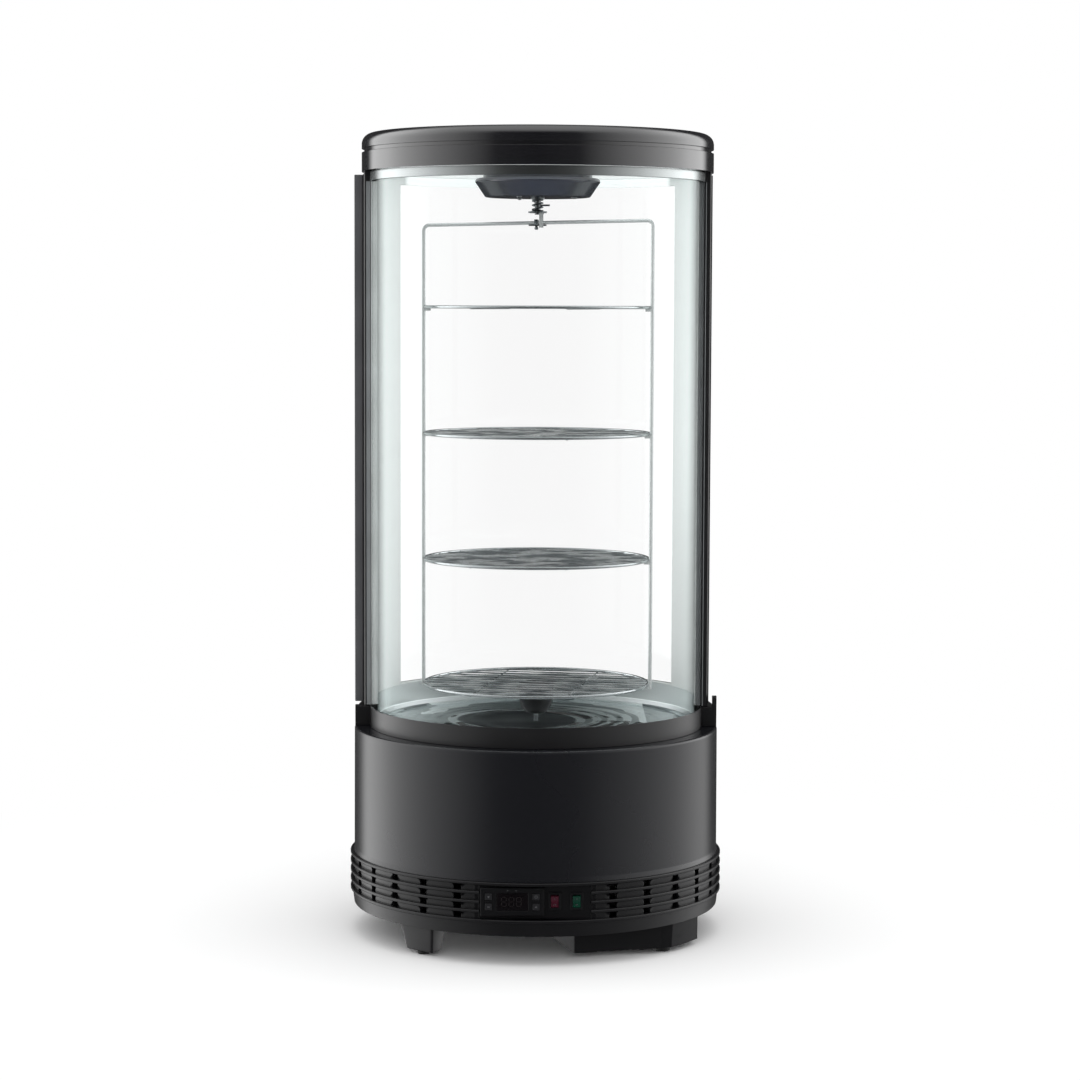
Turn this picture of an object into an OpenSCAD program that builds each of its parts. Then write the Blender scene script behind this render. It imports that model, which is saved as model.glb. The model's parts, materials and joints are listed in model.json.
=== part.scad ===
// Round countertop cake display case with a turning wire carousel.
// The origin is the centre of the case on the counter. The front faces -Y, the door is at +Y.

/* [Base] */
// Clear height under the base, taken by the moulded feet and their pads
foot_height = 35; // [28:1:50]
// Height of the plain skirt under the vents
skirt_height = 16; // [10:1:24]
// How far the skirt stands out from the shell
skirt_reach = 2.5; // [1:0.5:4]
// Height of the vent ring
vent_height = 48; // [44:1:64]
// How far the wall between the fins stands out from the shell
vent_reach = 0.5; // [0:0.25:1.5]
// How far the fins stand out from the wall between them
fin_reach = 4.5; // [3.5:0.5:9]
// Number of fins
fin_count = 5; // [3:1:6]
// Thickness of a fin
fin_thickness = 3.6; // [2.5:0.1:5]
// Number of slot columns around the ring
slot_columns = 30; // [20:2:36]
// Width of a slot
slot_width = 10; // [6:0.5:14]
// Height of the shell above the vents
shell_height = 155.5; // [130:0.5:200]
// Outer radius of the shell, which every other radius of the case follows
shell_radius = 226; // [204:0.5:250]
// Wall thickness of the moulded base pieces
base_wall = 3; // [2:0.5:4]

/* [Feet] */
// How far the outer face of a foot is set in from the skirt at the counter
foot_inset = 11.5; // [9:0.5:24]
// Width of a foot at the bottom
foot_width = 42; // [30:1:60]
// Depth of a foot at the bottom
foot_depth = 18; // [16:1:40]
// Angle of a foot from the front or the rear
foot_angle = 40; // [35:1:46]
// Spread of each face of a foot where it meets the base
foot_flare = 5; // [0:0.5:8]
// Thickness of the rubber pads
pad_thickness = 4; // [2:0.5:8]
// Radius of the rubber pads
pad_radius = 7; // [5:0.5:7.5]

/* [Water tray] */
// Length of the tray housing along its flat front
housing_length = 168; // [150:1:170]
// Depth of the tray housing behind its flat front
housing_depth = 96; // [80:1:104]
// How far the housing's curved outer wall is set in from the skirt
housing_inset = 4; // [2.5:0.5:8]
// Turn of the tray housing from the front
housing_turn = 15.7; // [8:0.1:20]
// How far the middle of the flat front lies inside the curved outer wall's radius
housing_flat = 30.5; // [29:0.5:36]
// Distance of the housing's inner end to the left of its middle line
housing_offset = 6; // [2:1:12]
// Wall thickness of the tray housing
housing_wall = 2.5; // [2:0.5:3.5]
// Clearance under the tray housing
housing_lift = 6.5; // [5:0.5:12]
// Length of the water tray
tray_length = 98; // [80:1:100]
// Thickness of the tray's front panel
tray_front = 3; // [2:0.5:4]
// Running gap around the tray
tray_gap = 0.8; // [0.5:0.1:1.5]
// Wall thickness of the water tray
tray_wall = 2; // [1.5:0.5:3]

/* [Controls] */
// Half width of the flat control panel
panel_half_width = 66; // [62:0.5:72]
// Thickness of the control panel
panel_thickness = 3; // [2:0.5:4]
// Width of the thermostat bezel
thermostat_width = 75; // [70:0.5:80]
// Height of the thermostat bezel
thermostat_height = 33; // [28:0.5:36]
// Thickness of the thermostat bezel
thermostat_bezel = 5; // [3:0.5:7]
// Depth of the thermostat body behind the panel
thermostat_depth = 48; // [30:1:60]
// Distance of the thermostat to the left of the middle
thermostat_offset = 27; // [26:0.5:28]
// Width of a thermostat button
button_width = 8.5; // [6:0.5:9]
// Height of a thermostat button
button_height = 8; // [6:0.5:9]
// Travel of a thermostat button
button_travel = 0.8; // [0.4:0.1:1.2]
// Width of a rocker switch frame
switch_width = 15; // [13:0.5:17]
// Height of a rocker switch frame
switch_height = 21; // [18:0.5:24]
// Distance from the middle to the first rocker switch
switch_offset = 23; // [22:0.5:24]
// Distance between the two rocker switches
switch_pitch = 26; // [22:0.5:28]
// Throw of a rocker to each side in degrees
rocker_throw = 9; // [5:1:10]
// Width of the power inlet
inlet_width = 48; // [40:1:56]
// Height of the power inlet
inlet_height = 30; // [26:1:34]

/* [Display floor] */
// Height of the collar above the shell
collar_height = 25; // [20:0.5:34]
// How far the front collar is set in from the shell
collar_inset = 19.5; // [16:0.5:21]
// Wall thickness of the collar
collar_wall = 8; // [6:0.5:10]
// Height of the rear rim and its side blocks above the shell
rear_rim_height = 24; // [18:0.5:28]
// Height of the ear beside the door's hinge above the rear rim
ear_height = 12.5; // [8:0.5:20]
// Thickness of the ear beside the door's hinge
ear_thickness = 5.4; // [4:0.2:5.8]
// Height of the steel floor above the shell's top
floor_rise = 5; // [2:0.5:10]
// Thickness of the steel floor
floor_thickness = 1.2; // [0.8:0.1:2]
// Height of the floor's rear wall, which the door closes against
rear_wall_height = 31; // [24:0.5:40]
// Height of the floor's front wall behind the glass
front_wall_height = 12; // [9:0.5:16]
// Width of the floor's flat margin around its dished middle
floor_margin = 82; // [68:1:98]
// Thickness of the insulated deck under the floor
deck_thickness = 42; // [30:1:60]
// Radius of the spindle under the carousel
spindle_radius = 3; // [2.5:0.25:5]

/* [Cabinet] */
// Height of the front glass above the collar
glass_height = 650; // [560:1:760]
// How far the front glass is set in from the collar's outer face
glass_inset = 2.5; // [2:0.25:3]
// Thickness of the curved glass
glass_thickness = 5; // [4:0.5:6]
// Radial depth of a side post
post_depth = 15; // [13:0.5:16]
// Width of a side post from front to back
post_width = 15; // [12:0.5:20]
// Height of the bright trim at the top of the glass
trim_height = 11; // [8:0.5:16]
// Thickness of the rubber glass seals
seal_thickness = 1.5; // [1:0.25:2]

/* [Lid] */
// Height of the lid skirt
lid_skirt_height = 23; // [18:0.5:30]
// How far the lid stands out from the front glass
lid_overhang = 12; // [11.5:0.5:14]
// Height of the shadow groove under the lid top
lid_groove_height = 5; // [3:0.5:7]
// Depth of the shadow groove
lid_groove_depth = 3; // [2:0.5:4]
// Height of the lid top
lid_top_height = 18.5; // [16:0.5:26]
// Radius of the lid's rounded shoulder
lid_shoulder = 13; // [8:0.5:15]
// Wall thickness of the lid pieces
lid_wall = 3; // [2:0.5:4]
// Height of the motor cover under the ceiling
cover_height = 32; // [26:0.5:44]
// Radius of the motor cover at its widest
cover_radius = 77; // [65:0.5:90]
// How much narrower the motor cover is at its bottom
cover_taper = 11.5; // [5:0.5:22]

/* [Carousel] */
// Radius of the four wire shelves at the middle of the rim wire
shelf_radius = 139; // [120:0.5:145]
// Wire radius of a shelf rim
rim_wire = 1.9; // [1.5:0.1:2.5]
// Wire radius of the shelf bars
bar_wire = 1.35; // [1:0.05:1.8]
// Number of parallel bars in a shelf
shelf_bars = 13; // [9:1:15]
// Distance between two shelves
shelf_pitch = 155.5; // [120:0.5:160]
// Height of the lowest shelf above the steel floor
shelf_start = 47; // [45:0.5:60]
// Wire radius of the carrier frame
frame_wire = 2.2; // [1.8:0.1:3]
// Bend radius of the carrier's upper corners
frame_bend = 7; // [5:0.5:12]
// Slope of the carrier's top bar in degrees
bar_slope = 1.1; // [0:0.1:2]
// Rest turn of the carousel in degrees
rest_turn = 10; // [0:1:30]
// Distance from the motor cover down to the middle of the top bar
hanger_drop = 31; // [29:0.5:45]
// Radius of the drive shaft
shaft_radius = 4; // [3:0.25:5]
// Wire radius of the coupling spring
spring_wire = 0.85; // [0.6:0.05:1]
// Mean radius of the coupling spring
spring_radius = 6.4; // [6:0.1:8]
// Turns of the coupling spring
spring_turns = 2.5; // [2.5:1:3.5]
// Travel of the coupling when the carousel is lifted off its spindle
lift_travel = 5; // [2:0.5:5]
// Outer radius of the washer that the carousel hangs from
washer_radius = 11.5; // [9:0.5:14]
// Radius of the black hub's bowl
hub_radius = 21; // [16:0.5:30]

/* [Door] */
// Angle of the door panel from the middle of the rear to its stile
door_glass_half = 60.8; // [50:0.2:61]
// How far the door is set in from the lid's edge
door_inset = 0.5; // [0:0.5:1.5]
// Thickness of the door frame
door_frame = 14; // [12:0.5:16]
// Height of the door's lower rail
door_low_rail = 9.5; // [8:0.5:30]
// Height of the door's upper rail
door_top_rail = 8; // [7:0.5:30]
// Gap around the door
door_gap = 2.2; // [1.5:0.1:3]
// How far the grip stands out from the door frame
grip_reach = 10.5; // [7:0.5:12]
// Angle that the grip covers around the door in degrees
grip_angle = 6; // [4:0.5:8]
// Radius of the door's hinge pins
pin_radius = 2.5; // [2:0.25:3]

/* [Machinery] */
// Radius of the compressor pot
compressor_radius = 56; // [45:1:62]
// Height of the compressor pot
compressor_height = 92; // [80:1:100]
// Distance between the compressor's outer mounting holes
compressor_span = 120; // [116:1:130]
// Radius of the condenser fan's blades
fan_radius = 42; // [34:1:46]
// Width of the condenser
condenser_width = 150; // [120:1:170]
// Radius of the fan's hub
fan_hub_radius = 13; // [9:0.5:16]
// Depth of the fan's hub
fan_hub_depth = 12; // [9:0.5:13]
// Width of a fan blade
fan_blade = 18; // [12:0.5:24]
// Radius of the fan motor
fan_motor_radius = 17; // [14:0.5:22]
// Length of the fan motor
fan_motor_length = 17; // [15:0.5:30]
// Width of the fan motor's bracket
fan_bracket = 16; // [12:0.5:24]
// Height of the copper line's start above the bottom
pipe_start = 47; // [38:0.5:52]
// Height of the condenser
condenser_height = 120; // [112:1:150]
// Depth of the condenser's fins
condenser_depth = 52; // [40:1:56]
// Radius of the condenser's tubes
condenser_tube = 4; // [3:0.25:5]
// Radius of the copper line
pipe_radius = 3.5; // [2.5:0.25:4.5]
// Radius of the evaporator coil
evaporator_radius = 150; // [120:1:160]
// Height of the evaporator coil
evaporator_height = 20; // [16:1:26]
// Width of one turn of the evaporator coil
evaporator_turn = 14; // [10:0.5:18]
// Radius of the gear motor
motor_radius = 30; // [24:1:40]
// Height of the gearbox under the motor
gearbox_height = 16; // [14:1:22]

/* [Hidden] */
$fn = 96;
fit_gap = 0.3;
pin_fit = 0.06;
base_z = foot_height;
vent_z = base_z + skirt_height;
shell_z = vent_z + vent_height;
deck_z = shell_z + shell_height;
floor_z = deck_z + floor_rise;
collar_z = deck_z + collar_height;
glass_top_z = collar_z + glass_height;
lid_z = glass_top_z + 8;
ceiling_z = lid_z + 2;
groove_z = lid_z + lid_skirt_height;
lid_top_z = groove_z + lid_groove_height;
vent_wall_radius = shell_radius + vent_reach;
fin_radius = vent_wall_radius + fin_reach;
skirt_radius = shell_radius + skirt_reach;
foot_radius = skirt_radius - foot_inset;
housing_radius = skirt_radius - housing_inset;
housing_front = housing_radius - housing_flat;
collar_radius = shell_radius - collar_inset;
glass_radius = collar_radius - glass_inset;
lid_radius = glass_radius + lid_overhang;
door_radius = lid_radius - door_inset;
trim_z = lid_z - trim_height;
glass_inner = glass_radius - glass_thickness;
fin_pitch = (vent_height - fin_thickness) / (fin_count - 1);
panel_y = -sqrt(pow(vent_wall_radius, 2) - pow(panel_half_width, 2)) + 1.5;
panel_front = panel_y - panel_thickness;
panel_mid_z = vent_z + vent_height / 2 + 1;
post_inner = glass_radius - 5.5;
post_outer = post_inner + post_depth;
rear_rim_z = deck_z + rear_rim_height;
groove_low = 0.55 * door_low_rail;
groove_top = 0.55 * door_top_rail;
rear_rim_inner = glass_radius - 1;
block_turn = 4.5;
ear_turn = 0.3;
floor_edge = rear_rim_inner - 5;
floor_dish_radius = floor_edge - floor_margin;
frame_half = shelf_radius + rim_wire + frame_wire + 0.05;
lowest_shelf_z = floor_z + shelf_start;
lid_plate_z = ceiling_z + 3;
cover_z = ceiling_z - cover_height;
frame_z = cover_z - hanger_drop;
washer_z = frame_z + 12;
washer_thickness = 2;
spring_bottom = washer_z + washer_thickness + spring_wire + 0.1;
spring_top = cover_z - spring_wire - 2.3;
spring_rise = spring_top - spring_bottom;
door_bottom_z = rear_rim_z + door_gap;
door_top_z = lid_z - door_gap;
door_front_y = 3;
door_inner = door_radius - door_frame;
door_glass_inner = door_radius - 8;
door_stile = 90 - door_glass_half;
hinge_x = door_radius - 4.7;
hinge_y = door_front_y + 6.5;
post_front = post_width - 1.5;
glass_turn = asin((post_front - 1.76) / glass_radius);
seal_turn = asin((post_front - 1.1) / glass_inner);
trim_turn = asin((post_front + 2.15) / glass_radius);
cover_bottom_radius = cover_radius - cover_taper;
machine_z = base_z + base_wall;
fan_axis_z = 62;
fan_shaft = 2;
compressor_at = [-70, 30];
riser_at = [compressor_at[0], compressor_at[1] + compressor_radius + 12];
condenser_at = [108, -20];
shroud_x = condenser_at[0] - condenser_depth / 2 - 20;
coil_z = deck_z - deck_thickness + 12;
pad_spot = [116, 19];
tray_room_height = foot_height - housing_lift - 2 * housing_wall;
tray_room_end = housing_wall + tray_length;
tray_low = housing_lift + housing_wall + fit_gap;
rocker_width = switch_width - 5.8;
rocker_pin = 1;
rocker_pivot_y = 1.5;
button_x = thermostat_width / 2 - 9.5;
button_z = thermostat_height / 2 - 10.5;
button_spots = [[-button_x, -button_z], [-button_x, button_z], [button_x, -button_z], [button_x, button_z]];
window_width = thermostat_width - 38;
window_height = thermostat_height - 12;
strip_x = 5;
strip_width = 5;
clip_height = 5;

// A full ring standing on the XY plane
module ring(outer, inner, height) {
  difference() {
    cylinder(r = outer, h = height, $fn = 180);
    translate([0, 0, -1])
      cylinder(r = inner, h = height + 2, $fn = 180);
  }
}

// Part of a ring between two angles measured from +X
module arc_ring(outer, inner, height, from, to) {
  rotate([0, 0, from])
    rotate_extrude(angle = to - from, $fn = 180)
      translate([inner, 0])
        square([outer - inner, height]);
}

// A wire between two points
module wire(from, to, radius) {
  span = to - from;
  length = norm(span);
  translate(from)
    rotate([0, acos(span[2] / length), atan2(span[1], span[0])])
      cylinder(r = radius, h = length, $fn = 24);
}

// A block with its vertical edges rounded
module rounded_block(size, radius) {
  linear_extrude(size[2])
    union() {
      translate([radius, 0])
        square([size[0] - 2 * radius, size[1]]);
      translate([0, radius])
        square([size[0], size[1] - 2 * radius]);
      for (x = [radius, size[0] - radius], y = [radius, size[1] - radius])
        translate([x, y])
          circle(r = radius, $fn = 32);
    }
}

// A block lying on the control panel, its face towards -Y
module face_block(width, height, depth, radius) {
  translate([-width / 2, 0, -height / 2])
    rotate([90, 0, 0])
      rounded_block([width, height, depth], radius);
}

// Moves its children onto the flat control panel
module on_panel(x) {
  translate([x, panel_front, panel_mid_z])
    children();
}

// Moves its children to the housing's own axes, its flat front at -Y
module at_housing() {
  rotate([0, 0, housing_turn])
    translate([-housing_offset, -housing_front, 0])
      children();
}

// Moulded bottom with an upturned skirt
module bottom_tray() {
  color("#1b1b1d")
    translate([0, 0, base_z])
      difference() {
        cylinder(r1 = skirt_radius - 2, r2 = skirt_radius, h = skirt_height - fit_gap, $fn = 180);
        translate([0, 0, base_wall])
          cylinder(r = skirt_radius - base_wall - 2, h = skirt_height, $fn = 180);
        for (a = [-30:6:30], r = [60:22:148])
          rotate([0, 0, 180 + a])
            translate([r, -2, -1])
              cube([14, 4, base_wall + 2]);
      }
}

// One moulded foot that follows the skirt and narrows towards the counter
module foot() {
  height = foot_height - pad_thickness;
  inner = foot_radius - foot_depth;
  half = foot_width / 2;
  translate([0, 0, pad_thickness])
    difference() {
      intersection() {
        cylinder(r1 = foot_radius, r2 = foot_radius + foot_flare, h = height, $fn = 180);
        rotate([90, 0, 0])
          translate([0, 0, -foot_width])
            linear_extrude(2 * foot_width)
              polygon([[inner, 0], [foot_radius + 20, 0],
                       [foot_radius + 20, height], [inner - foot_flare, height]]);
        rotate([90, 0, 90])
          linear_extrude(foot_radius + 30)
            polygon([[-half, 0], [half, 0], [half + foot_flare, height], [-half - foot_flare, height]]);
      }
      translate([foot_radius - foot_depth / 2, 0, -1])
        cylinder(r = 3, h = 13, $fn = 24);
    }
}

// Positions of the three free-standing feet; the fourth pad is under the tray housing
module at_feet() {
  for (a = [-90 - foot_angle, 90 - foot_angle, 90 + foot_angle])
    rotate([0, 0, a])
      children();
}

module feet() {
  color("#1b1b1d")
    at_feet()
      foot();
}

module pad() {
  color("#101010")
    difference() {
      union() {
        cylinder(r = pad_radius, h = pad_thickness - fit_gap, $fn = 48);
        cylinder(r = 2.9, h = pad_thickness + 9, $fn = 24);
      }
      translate([0, 0, -1])
        cylinder(r = 1.4, h = 4, $fn = 24);
    }
}

module foot_pads() {
  at_feet()
    translate([foot_radius - foot_depth / 2, 0, 0])
      pad();
  color("#101010")
    at_housing()
      translate([pad_spot[0], pad_spot[1], 0])
        cylinder(r1 = 9, r2 = 10, h = housing_lift, $fn = 48);
}

// Moulded housing under the base that the water tray slides into
module tray_housing() {
  height = foot_height - housing_lift;
  color("#1c1c1e")
    difference() {
      intersection() {
        at_housing()
          translate([0, tray_front + fit_gap, housing_lift])
            cube([housing_length, housing_depth - tray_front - fit_gap, height]);
        cylinder(r1 = housing_radius - 1, r2 = housing_radius, h = foot_height, $fn = 180);
      }
      at_housing()
        translate([housing_wall, -1, housing_lift + housing_wall])
          cube([tray_length, housing_depth - housing_wall + 1, tray_room_height]);
      intersection() {
        at_housing()
          translate([tray_room_end + housing_wall, tray_front + housing_wall, housing_lift + housing_wall])
            cube([housing_length - tray_room_end - 2 * housing_wall,
                  housing_depth - tray_front - 2 * housing_wall, height]);
        cylinder(r = housing_radius - 1 - housing_wall, h = foot_height + 1, $fn = 180);
      }
    }
}

// Open tray with a front panel that catches the melt water
module water_tray() {
  length = tray_length - 2 * tray_gap;
  depth = housing_depth - housing_wall - tray_gap;
  height = tray_room_height - 2 * tray_gap;
  color("#232326")
    at_housing()
      difference() {
        union() {
          translate([housing_wall + tray_gap, 0, tray_low])
            cube([length, depth, height]);
          translate([0, 0, housing_lift + fit_gap])
            cube([tray_room_end + 8, tray_front, foot_height - housing_lift - 1]);
        }
        translate([housing_wall + tray_gap + tray_wall, tray_front, tray_low + tray_wall])
          cube([length - 2 * tray_wall, depth - tray_front - tray_wall, height]);
        translate([tray_room_end / 2 - 22, -1, housing_lift - 1])
          cube([44, tray_front + 2, 2.4]);
      }
}

// Ring of fins around the machine space, with slots between them
module vent_ring() {
  wall = base_wall;
  color("#19191b")
    difference() {
      union() {
        translate([0, 0, vent_z])
          ring(vent_wall_radius, vent_wall_radius - wall, vent_height);
        for (i = [0:fin_count - 1])
          translate([0, 0, vent_z + i * fin_pitch])
            rotate_extrude($fn = 180)
              polygon([
                [vent_wall_radius - wall, 0],
                [fin_radius - 0.8, 0],
                [fin_radius, 0.8],
                [fin_radius, fin_thickness - 0.8],
                [fin_radius - 0.8, fin_thickness],
                [vent_wall_radius - wall, fin_thickness]
              ]);
        for (s = [-1, 1])
          translate([s * (panel_half_width + 3) - 3, panel_y - 1, vent_z])
            cube([6, 9, vent_height]);
      }
      for (c = [2:slot_columns - 2], i = [0:fin_count - 2])
        rotate([0, 0, -90 + c * 360 / slot_columns])
          translate([vent_wall_radius - wall - 1, -slot_width / 2, vent_z + i * fin_pitch + fin_thickness])
            cube([wall + 3, slot_width, fin_pitch - fin_thickness]);
      translate([0, vent_wall_radius + 18, vent_z + vent_height / 2])
        face_block(inlet_width + 2 * fit_gap, inlet_height + 2 * fit_gap, 40, 0.5);
      translate([-panel_half_width, -fin_radius - 1, vent_z + fin_thickness])
        cube([2 * panel_half_width, fin_radius + 3 + panel_y, vent_height - 2 * fin_thickness]);
    }
}

// Flat panel set into the front of the vent ring
module control_panel() {
  height = vent_height - 2 * fin_thickness - 2 * fit_gap;
  color("#202023")
    difference() {
      translate([-panel_half_width + fit_gap, panel_front, panel_mid_z - 1 - height / 2])
        cube([2 * (panel_half_width - fit_gap), panel_thickness - fit_gap, height]);
      on_panel(-thermostat_offset)
        translate([0, panel_thickness + 1, 0])
          face_block(thermostat_width - 5, thermostat_height - 5, panel_thickness + 2, 1);
      for (i = [0, 1])
        on_panel(switch_offset + i * switch_pitch)
          translate([0, panel_thickness + 1, 0])
            face_block(switch_width - 2, switch_height - 2, panel_thickness + 2, 0.8);
    }
}

// Panel thermostat, its body behind the control panel
module thermostat() {
  inner_w = thermostat_width - 5 - 2 * fit_gap;
  inner_h = thermostat_height - 5 - 2 * fit_gap;
  color("#2a2a2e")
    on_panel(-thermostat_offset)
      difference() {
        union() {
          translate([0, -fit_gap, 0])
            face_block(thermostat_width, thermostat_height, thermostat_bezel, 2.5);
          translate([0, thermostat_depth, 0])
            face_block(inner_w, inner_h, thermostat_depth + fit_gap, 0.8);
        }
        translate([0, -thermostat_bezel + 1.5, 0])
          face_block(window_width + 2 * fit_gap, window_height + 2 * fit_gap, 6, 1);
        for (b = button_spots)
          translate([b[0], 3, b[1]])
            face_block(button_width + 0.6, button_height + 0.6, 16, 1);
      }
}

module thermostat_window() {
  color("#3a0d0d")
    on_panel(-thermostat_offset)
      translate([0, -thermostat_bezel + 1.5, 0])
        face_block(window_width, window_height, 1.6, 0.8);
}

module button(index) {
  spot = button_spots[index];
  color("#45454b")
    on_panel(-thermostat_offset + spot[0])
      translate([0, -0.9, spot[1]])
        union() {
          face_block(button_width, button_height, thermostat_bezel - 0.9 + button_travel + 0.5, 0.8);
          translate([0, 3 - button_travel - fit_gap, 0])
            face_block(3, 3, 4, 0.5);
        }
}

module button_set() {
  button(0);
}

module button_down() {
  button(1);
}

module button_up() {
  button(2);
}

module button_power() {
  button(3);
}

// Snap-in frames of the two rocker switches
module switch_frames() {
  for (i = [0, 1])
    color("#1a1a1c")
      on_panel(switch_offset + i * switch_pitch)
        difference() {
          union() {
            translate([0, -fit_gap, 0])
              face_block(switch_width, switch_height, 2, 1.5);
            translate([0, 16, 0])
              face_block(switch_width - 2 - 2 * fit_gap, switch_height - 2 - 2 * fit_gap, 16.2, 0.5);
          }
          translate([0, 9, 0])
            face_block(rocker_width + 0.8, switch_height - 5, 14, 0.4);
          translate([-switch_width / 2 - 1, rocker_pivot_y, 0])
            rotate([0, 90, 0])
              cylinder(r = rocker_pin + pin_fit, h = switch_width + 2, $fn = 32);
        }
}

// A rocker with its two inclined halves, tilted about its pivot pins
module rocker(index, tint) {
  half = switch_height / 2 - 3.1;
  pins = rocker_width + 2.2;
  color(tint)
    on_panel(switch_offset + index * switch_pitch)
      translate([0, rocker_pivot_y, 0])
        rotate([rocker_throw, 0, 0])
          union() {
            translate([-rocker_width / 2, 0, 0])
              rotate([90, 0, 90])
                linear_extrude(rocker_width)
                  polygon([[4.5, 0], [-1, half], [-4.2, half - 0.7],
                           [-2.7, 0], [-4.2, 0.7 - half], [-1, -half]]);
            translate([-pins / 2, 0, 0])
              rotate([0, 90, 0])
                cylinder(r = rocker_pin, h = pins, $fn = 32);
          }
}

module rocker_red() {
  rocker(0, "#8a1420");
}

module rocker_green() {
  rocker(1, "#0f7a4a");
}

// Inlet socket in the rear of the vent ring
module power_inlet() {
  color("#141416")
    translate([0, vent_wall_radius - 20, vent_z + vent_height / 2])
      difference() {
        translate([-inlet_width / 2, 0, -inlet_height / 2])
          cube([inlet_width, 24, inlet_height]);
        translate([-inlet_width / 2 + 11, 6, -inlet_height / 2 + 6])
          cube([inlet_width - 22, 20, inlet_height - 12]);
        for (x = [-7, 0, 7])
          translate([x - 1, 4, -2.5 + (x == 0 ? 3 : 0)])
            cube([2, 10, 4]);
      }
}

// Cylindrical shell with an inward flange at the top
module base_shell() {
  wall = 1.5;
  color("#222225")
    translate([0, 0, shell_z])
      rotate_extrude($fn = 180)
        polygon([
          [shell_radius - wall + 1, 0],
          [shell_radius + 1, 0],
          [shell_radius, 6],
          [shell_radius - 0.4, shell_height - 3],
          [shell_radius - 1.2, shell_height - 1],
          [shell_radius - 3, shell_height],
          [glass_inner - 8, shell_height],
          [glass_inner - 8, shell_height - wall],
          [shell_radius - 4, shell_height - wall],
          [shell_radius - wall - 0.4, shell_height - 4]
        ]);
}

// Hermetic compressor on its mounting plate, with the terminal box
module compressor() {
  plate = compressor_span + 24;
  depth = compressor_radius + 34;
  color("#161616")
    translate([compressor_at[0], compressor_at[1], machine_z])
      union() {
        translate([-plate / 2, -depth / 2, 0])
          cube([plate, depth, 4]);
        for (x = [-1, 1] * compressor_span / 2, y = [-1, 1] * (depth / 2 - 10))
          translate([x, y, 0])
            cylinder(r = 9, h = 16, $fn = 32);
        translate([0, 0, 12])
          rotate_extrude()
            polygon([
              [0, 0],
              [compressor_radius - 18, 0],
              [compressor_radius - 4, 10],
              [compressor_radius, 24],
              [compressor_radius, compressor_height - 38],
              [compressor_radius - 6, compressor_height - 20],
              [compressor_radius - 22, compressor_height - 6],
              [0, compressor_height]
            ]);
        for (s = [-1, 1])
          translate([s * (compressor_radius - 12) - 18, -6, 3])
            cube([36, 12, 32]);
        translate([compressor_radius - 6, -20, 40])
          cube([22, 40, 36]);
      }
}

// Finned condenser block
module condenser() {
  half = condenser_width / 2;
  fin = 1.2;
  plate = 2;
  color("#9a9ca0")
    translate([condenser_at[0], condenser_at[1], machine_z])
      union() {
        for (i = [0:14])
          translate([-condenser_depth / 2, -half + 4 + i * (condenser_width - 8 - fin) / 14, 6])
            cube([condenser_depth, fin, condenser_height - 8]);
        for (i = [1:4], s = [-1, 1])
          translate([s * condenser_depth / 4, -half, i * condenser_height / 5])
            rotate([-90, 0, 0])
              cylinder(r = condenser_tube, h = condenser_width, $fn = 24);
        for (s = [-1, 1])
          translate([-condenser_depth / 2 - 1, s * (half - plate / 2) - plate / 2, 0])
            cube([condenser_depth + 2, plate, condenser_height]);
      }
}

// Plate with a round mouth that carries the fan motor
module fan_shroud() {
  color("#3b3d40")
    translate([shroud_x, condenser_at[1], machine_z])
      union() {
        difference() {
          translate([0, -condenser_width / 2, 0])
            cube([2, condenser_width, condenser_height]);
          translate([-1, 0, fan_axis_z])
            rotate([0, 90, 0])
              cylinder(r = fan_radius + 3, h = 4, $fn = 64);
        }
        difference() {
          translate([-14, -fan_bracket / 2, 0])
            cube([8, fan_bracket, fan_axis_z + 12]);
          translate([-15, 0, fan_axis_z])
            rotate([0, 90, 0])
              cylinder(r = fan_shaft + pin_fit, h = 10, $fn = 32);
        }
        translate([-14, -fan_bracket / 2, 0])
          cube([15, fan_bracket, 2]);
        difference() {
          translate([-13 - fan_motor_length, 0, fan_axis_z])
            rotate([0, 90, 0])
              cylinder(r = fan_motor_radius, h = fan_motor_length, $fn = 48);
          translate([-18, 0, fan_axis_z])
            rotate([0, 90, 0])
              cylinder(r = fan_shaft + 1, h = 6, $fn = 32);
        }
      }
}

// Fan with five blades on the motor shaft
module condenser_fan() {
  color("#0f0f10")
    translate([shroud_x, condenser_at[1], machine_z + fan_axis_z])
      rotate([0, 90, 0])
        union() {
          translate([0, 0, -16])
            cylinder(r = fan_shaft, h = 22, $fn = 32);
          translate([0, 0, -4])
            cylinder(r = fan_hub_radius, h = fan_hub_depth, $fn = 48);
          for (i = [0:4])
            rotate([0, 0, i * 72])
              translate([0, 0, 2])
                rotate([24, 0, 0])
                  translate([fan_hub_radius - 3, -fan_blade / 2, -0.8])
                    cube([fan_radius - fan_hub_radius + 1, fan_blade, 1.6]);
        }
}

// Copper line from the compressor up to the evaporator
module pipework() {
  low = base_z + pipe_start;
  high = coil_z - fit_gap;
  color("#a45c33")
    union() {
      wire([riser_at[0], riser_at[1], low], [riser_at[0], riser_at[1], high], pipe_radius);
      wire([riser_at[0], riser_at[1] - 12 + fit_gap, low], [riser_at[0], riser_at[1], low], pipe_radius);
      translate([riser_at[0], riser_at[1], low])
        sphere(r = pipe_radius + 0.05, $fn = 24);
    }
}

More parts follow.
